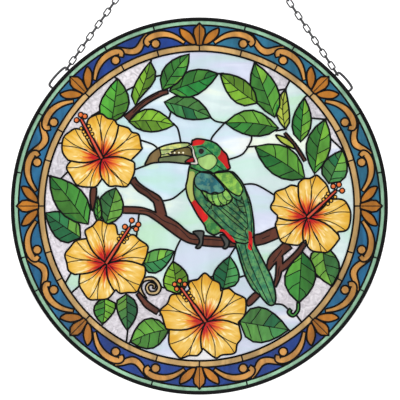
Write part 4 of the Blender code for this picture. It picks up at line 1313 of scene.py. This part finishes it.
def annulus_lines(joints, inner, outer, owner):
    return [((owner, "joint"), [polar(a, inner), polar(a, outer)]) for a in joints]


def build_border_glass(sizes):
    outermost = DISC_RADIUS - RIM_WIDTH + RING_OVERLAP
    radii = [PICTURE_LINE_RADIUS, BAND_INNER_RADIUS, BAND_OUTER_RADIUS, outermost]
    rings = [circle(r) for r in radii]
    turns = [EIGHTH * i for i in range(8)]
    regions = [("palmette_%d_degrees" % turn, palmette(turn)) for turn in turns] + scroll_regions()
    lines = annulus_lines(GREEN_JOINTS, radii[2], radii[3], "green_ring")
    lines += annulus_lines(GOLD_JOINTS, radii[0], radii[1], "gold_ring")
    for turn in turns:
        vein = [polar(turn, BAND_LINE_START), polar(turn, PALMETTE_VEIN_END)]
        lines.append((("palmette_%d_degrees" % turn, "vein"), vein))
        for share in PANE_JOINTS:
            joint = [polar(turn + share, BAND_LINE_START), polar(turn + share, PANE_JOINT_END)]
            lines.append((("border", "joint"), joint))
    loops = [(("", "edge"), ring) for ring in rings] + [((name, "edge"), loop) for name, loop in regions]
    verts, triangles, cut = split_plane(loops, lines)
    labels = label(verts, triangles, regions)
    for t, triangle in enumerate(triangles):
        x, z = centroid(verts, triangle)
        if not winding((x, z), rings[3]) or winding((x, z), rings[0]):
            labels[t] = ""
        elif winding((x, z), rings[2]) and not winding((x, z), rings[1]):
            turn = math.degrees(math.atan2(z, x)) % 360 // EIGHTH * EIGHTH
            labels[t] = labels[t] or "border_pane_%d_to_%d_degrees" % (turn, turn + EIGHTH)
        elif not labels[t].startswith("palmette"):
            labels[t] = "gold_ring:ring_gold" if winding((x, z), rings[1]) else "green_ring:ring_green"
    parts = {}
    for title, groups in groups_of(verts, triangles, labels, cut).items():
        for group in groups:
            parts.setdefault(title.split(":")[0], []).append((title, group))
    for home, members in parts.items():
        obj = glass_object(home + "_glass", verts, triangles, members, sizes)
        finished(obj, glass_material(), slot_of(home), [home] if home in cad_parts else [])
    owners = [name.split(":")[0] if name.startswith("g") else name for name in labels]
    widths = seen_lines(triangles, owners, cut)
    widths["outline"] += seen_ring(verts, cut, outermost)
    beads = lead_beads("border", verts, widths, sizes)
    finished(beads, lead_material(sizes), "lead_came", ["lead_lines_border"])


# The pieces round the glass
def lathe(name, profile, steps):
    """A ring turned about the disc's own axis, from (radius, depth) marks of its closed section."""
    corners = []
    for i in range(steps):
        angle = 2 * math.pi * i / steps
        for radius, depth in profile:
            x, z = radius * math.cos(angle), radius * math.sin(angle)
            corners.append((x + PANEL_SHIFT, depth, z - PANEL_DROP))
    return solid_object(name, corners, side_faces(steps, steps, len(profile)))


def build_rim(sizes):
    half, bevel = sizes.rim_depth / MM / 2, RIM_BEVEL
    inner, outer = DISC_RADIUS - RIM_WIDTH, DISC_RADIUS
    section = [(inner, -half + bevel), (inner + bevel, -half), (outer - bevel, -half), (outer, -half + bevel),
               (outer, half - bevel), (outer - bevel, half), (inner + bevel, half), (inner, half - bevel)]
    rim = lathe("rim", section, RIM_STEPS)
    finished(rim, lead_material(sizes), "lead_came", ["frame_rim"])


def build_bail(side, ends, sizes):
    chain_end, far_end = ends
    span, foot, crown = far_end - chain_end, DISC_RADIUS - BAIL_SINK, DISC_RADIUS + BAIL_STAND
    shoulder = crown - BAIL_SHOULDER
    marks = [(0, foot), (0, shoulder), (0.1, crown), (0.5, crown + BAIL_CROWN), (0.9, crown), (1, shoulder),
             (1, foot)]
    marks = rounded([(share * 100, radius) for share, radius in marks], False)
    path = [panel_point(chain_end + span * share / 100, radius) for share, radius in marks]
    bail = wire("bail_wire_" + side, path, sizes.bail_wire / MM / 2, BAIL_SIDES, False)
    finished(bail, wire_material(sizes), "dark_wire", ["bail_" + side])


def build_hang_ring(sizes):
    radius = RING_INNER_RADIUS + RING_WIRE / 2
    path = [Vector((radius * math.cos(a), 0, radius * math.sin(a) - RING_INNER_RADIUS))
            for a in (2 * math.pi * i / RING_STEPS for i in range(RING_STEPS))]
    ring = wire("hanging_ring", path, RING_WIRE / 2, RING_SIDES, True)
    finished(ring, wire_material(sizes), "dark_wire", ["hang_ring"])


def link_shape(length, width, thickness):
    """A rounded chain link along its local Z axis."""
    bend, straight = width / 2 - thickness / 2, length / 2 - width / 2
    path = []
    for end in (1, -1):
        for k in range(LINK_STEPS + 1):
            a = math.pi * k / LINK_STEPS
            path.append(Vector((end * bend * math.cos(a), 0, end * (straight + bend * math.sin(a)))))
    return wire("link_shape", path, thickness / 2, LINK_SIDES, True)


def build_chain(side, bail_angle, sizes):
    start = panel_point(bail_angle, DISC_RADIUS + BAIL_STAND / 2)
    centre = Vector((0, 0, -RING_INNER_RADIUS))
    along = (centre - start).normalized()
    end = centre - along * (RING_INNER_RADIUS + RING_WIRE / 2)
    thickness = sizes.link_wire / MM
    slack = LINK_PLAY * 2 + (sizes.bail_wire / MM + RING_WIRE) / 2
    pitch = ((end - start).length + slack) / CHAIN_LINKS
    shape = link_shape(pitch + 2 * thickness, sizes.link_width / MM, thickness)
    shape.hide_render = True
    first = start + along * (pitch / 2 - LINK_PLAY - sizes.bail_wire / MM / 2)
    # This turn lays the link's Z axis along the strand
    lean = math.atan2(along.x, along.z)
    holder = linked("chain_strand_" + side, bpy.data.meshes.new("strand"))
    evaluated(holder, chain_group(), {
        "Link": shape, "Start": first * MM, "End": (first + along * pitch * (CHAIN_LINKS - 1)) * MM,
        "Count": CHAIN_LINKS, "Turn": (0.0, lean, 0.0), "Material": wire_material(sizes),
    })
    # The first link lies flat to the front, so a quarter turn of the strand about itself sets it edge-on
    there, back = Matrix.Translation(first * MM), Matrix.Translation(-first * MM)
    holder.data.transform(there @ Matrix.Rotation(math.pi / 2, 4, along) @ back)
    holder.data.shade_smooth()
    bpy.data.objects.remove(shape)
    finished(holder, wire_material(sizes), "dark_wire", ["chain_" + side])


def ball_at(x, z, depth, radius, flat):
    """A round or flattened ball standing on the glass at a mark of the picture."""
    ball = bmesh.new()
    move = Matrix.Translation(((x + PANEL_SHIFT) * MM, depth * MM, (z - PANEL_DROP) * MM))
    place = move @ Matrix.Diagonal((1, flat, 1, 1))
    bmesh.ops.create_icosphere(ball, subdivisions=2, radius=radius * MM, matrix=place)
    return from_bmesh("ball", ball)


def rod(start, end, depth, radius):
    """A round rod lying on the picture from one mark to another."""
    marks = [(start[0] + (end[0] - start[0]) * t, start[1] + (end[1] - start[1]) * t) for t in (0, 0.5, 1)]
    path = [Vector((x + PANEL_SHIFT, depth, z - PANEL_DROP)) for x, z in marks]
    return wire("rod", path, radius, ROD_SIDES, False)


def build_stamens(sizes):
    """Stamen rods and round glass beads on the front of the flowers, each on a dark rim."""
    face = -sizes.glass_thickness / MM / 2
    sets = {"stigma_beads": [], "anther_beads": [], "bead_rims": [], "stamen_rods": [], "stamen_edges": []}
    for name, (tip, marks) in STAMENS.items():
        heart = HEARTS[name]
        middle = ((heart[0] + tip[0]) / 2, (heart[1] + tip[1]) / 2)
        for end, radius in ((tip, ROD_RADIUS), (middle, ROD_FOOT_RADIUS)):
            sets["stamen_rods"].append(rod(heart, end, face - BEAD_PROUD, radius))
            sets["stamen_edges"].append(rod(heart, end, face + EDGE_SINK, radius + EDGE_WIDTH))
        for x, z, radius in marks:
            large = radius > STIGMA_RADIUS
            bead = ball_at(x, z, face - BEAD_PROUD, radius * BEAD_SHARE, BEAD_FLAT)
            sets["stigma_beads" if large else "anther_beads"].append(bead)
            sets["bead_rims"].append(ball_at(x, z, face, radius + BEAD_RIM, BEAD_RIM_FLAT))
            if large:
                sets["stamen_edges"].append(rod(tip, (x, z), face + STALK_SINK, STALK_RADIUS))
    paints = {
        "stigma_beads": (shader("bead_orange", BEAD_ORANGE, 0.15, specular=0.3), "yellow_glass"),
        "anther_beads": (shader("bead_yellow", BEAD_YELLOW, 0.15, specular=0.3), "yellow_glass"),
        "bead_rims": (lead_material(sizes), "lead_came"),
        "stamen_rods": (shader("stamen_red", STAMEN_RED, 0.2, specular=0.3), "red_glass"),
        "stamen_edges": (lead_material(sizes), "lead_came"),
    }
    for title, members in sets.items():
        piece = joined(title, members)
        piece.data.shade_smooth()
        finished(piece, *paints[title])


def build_stage(sizes):
    """Floor, wall, lights and the camera of the photo."""
    def sheet(name, corners, glow):
        obj = meshed(name, corners, [], [(0, 1, 2, 3)])
        material = shader("pale_" + name, STAGE_TONE, 0.9)
        inputs = material.node_tree.nodes["Principled BSDF"].inputs
        inputs["Emission Color"].default_value = (1.0, 1.0, 1.0, 1.0)
        inputs["Emission Strength"].default_value = glow
        obj.data.materials.append(material)

    half, floor, wall, top = ROOM_HALF, FLOOR_LEVEL, sizes.wall_distance, WALL_TOP
    ground = [(-half, -half, floor), (half, -half, floor), (half, half, floor), (-half, half, floor)]
    back = [(-half, wall, floor), (half, wall, floor), (half, wall, top), (-half, wall, top)]
    sheet("floor", ground, 0.0)
    sheet("wall", back, WALL_GLOW)
    world = bpy.data.worlds.new("studio")
    world.use_nodes = True
    world.node_tree.nodes["Background"].inputs["Color"].default_value = (1, 1, 1, 1)
    world.node_tree.nodes["Background"].inputs["Strength"].default_value = STUDIO_LIGHT
    bpy.context.scene.world = world
    for name, place, turn, size, power in LAMPS:
        lamp = bpy.data.lights.new(name, "AREA")
        lamp.size, lamp.energy = size, power
        obj = linked(name, lamp)
        obj.location, obj.rotation_euler = place, Euler(turn)
    lens = bpy.data.cameras.new("photo_camera")
    lens.lens = sizes.lens
    away = VIEW_WIDTH * lens.lens / lens.sensor_width
    view = linked("photo_camera", lens)
    view.location = (PANEL_SHIFT * MM + VIEW_RIGHT, -away, -PANEL_DROP * MM + VIEW_UP)
    view.rotation_euler = Euler((math.pi / 2, 0, 0))
    bpy.context.scene.camera = view
    bpy.context.scene.view_settings.view_transform = "Standard"


def length_setting(name, description, default):
    return FloatProperty(name=name, description=description, default=default, min=0.0, unit="LENGTH",
                         subtype="DISTANCE")


def colour_setting(name, description, default):
    return FloatVectorProperty(name=name, description=description, default=default, min=0.0, max=1.0,
                               subtype="COLOR")


class PanelSizes(bpy.types.PropertyGroup):
    glass_thickness: length_setting("Glass thickness", "Thickness of every pane", 0.003)
    lead_depth: length_setting("Lead depth", "Depth of the lead beads, front to back", 0.0044)
    outline_half: length_setting("Outline half width", "Half width of lead about a piece of glass", 0.00104)
    joint_half: length_setting("Joint half width", "Half width inside the bird and border", 0.00088)
    vein_half: length_setting("Vein half width", "Half width of the fine lead lines", 0.00068)
    rim_depth: length_setting("Rim depth", "Depth of the outer rim", 0.006)
    bail_wire: length_setting("Bail wire", "Thickness of the bails' wire", 0.002)
    link_wire: length_setting("Link wire", "Thickness of the chain's wire", 0.0012)
    link_width: length_setting("Link width", "Outside width of a link", 0.005)
    wall_distance: length_setting("Wall distance", "From the panel to the bright wall behind", 2.2)
    lead_colour: colour_setting("Lead colour", "The lead beads and the rim", (0.0016, 0.0016, 0.002))
    wire_colour: colour_setting("Wire colour", "The bails, chains and hanging ring", (0.002, 0.002, 0.0025))
    petal_colour: colour_setting("Petal colour", "The main yellow of the flowers", (0.73, 0.41, 0.035))
    branch_colour: colour_setting("Branch colour", "The branches and twigs", (0.10, 0.026, 0.013))
    band_colour: colour_setting("Band colour", "Mixed into the blues of the border", (0.01, 0.07, 0.26))
    gold_ring_colour: colour_setting("Gold ring colour", "The ring inside the border", (0.54, 0.34, 0.13))
    green_ring_colour: colour_setting("Green ring colour", "The ring outside the border", (0.33, 0.60, 0.40))
    lens: FloatProperty(name="Lens", description="Focal length of the camera", default=85.0, min=20.0,
                        unit="CAMERA")


class GLASS_OT_picture(bpy.types.Operator):
    """Makes the glass and lead of the round picture"""

    bl_idname = "glass_panel.picture"
    bl_label = "Picture glass and lead"

    def execute(self, context):
        build_picture_glass(context.scene.glass_panel)
        return {"FINISHED"}


class GLASS_OT_border(bpy.types.Operator):
    """Makes the scroll border, its two rings and its lead"""

    bl_idname = "glass_panel.border"
    bl_label = "Border glass and lead"

    def execute(self, context):
        build_border_glass(context.scene.glass_panel)
        return {"FINISHED"}


class GLASS_OT_rim(bpy.types.Operator):
    """Makes the outer rim and the two wire bails on it"""

    bl_idname = "glass_panel.rim"
    bl_label = "Rim and bails"

    def execute(self, context):
        build_rim(context.scene.glass_panel)
        for side, ends in BAILS.items():
            build_bail(side, ends, context.scene.glass_panel)
        return {"FINISHED"}


class GLASS_OT_hanging(bpy.types.Operator):
    """Makes the hanging ring and the two chains"""

    bl_idname = "glass_panel.hanging"
    bl_label = "Ring and chains"

    def execute(self, context):
        build_hang_ring(context.scene.glass_panel)
        for side, ends in BAILS.items():
            build_chain(side, ends[0], context.scene.glass_panel)
        return {"FINISHED"}


class GLASS_OT_stamens(bpy.types.Operator):
    """Makes the stamens and their round beads"""

    bl_idname = "glass_panel.stamens"
    bl_label = "Stamens and beads"

    def execute(self, context):
        build_stamens(context.scene.glass_panel)
        return {"FINISHED"}


class GLASS_OT_stage(bpy.types.Operator):
    """Sets the floor, wall, lights and camera"""

    bl_idname = "glass_panel.stage"
    bl_label = "Stage"

    def execute(self, context):
        build_stage(context.scene.glass_panel)
        return {"FINISHED"}


class GLASS_PT_panel(bpy.types.Panel):
    bl_idname = "GLASS_PT_panel"
    bl_label = "Stained glass panel"
    bl_space_type = "VIEW_3D"
    bl_region_type = "UI"
    bl_category = "Panel"

    def draw(self, context):
        for step in STEPS:
            self.layout.operator("glass_panel." + step)
        for name in PanelSizes.__annotations__:
            self.layout.prop(context.scene.glass_panel, name)


STEPS = ("picture", "border", "rim", "hanging", "stamens", "stage")
CLASSES = (PanelSizes, GLASS_OT_picture, GLASS_OT_border, GLASS_OT_rim, GLASS_OT_hanging, GLASS_OT_stamens,
           GLASS_OT_stage, GLASS_PT_panel)


def register():
    for item in CLASSES:
        bpy.utils.register_class(item)
    bpy.types.Scene.glass_panel = PointerProperty(type=PanelSizes)


def unregister():
    del bpy.types.Scene.glass_panel
    for item in reversed(CLASSES):
        bpy.utils.unregister_class(item)


def main():
    register()
    for step in STEPS:
        getattr(bpy.ops.glass_panel, step)()
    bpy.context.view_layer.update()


if __name__ == "__main__":
    main()
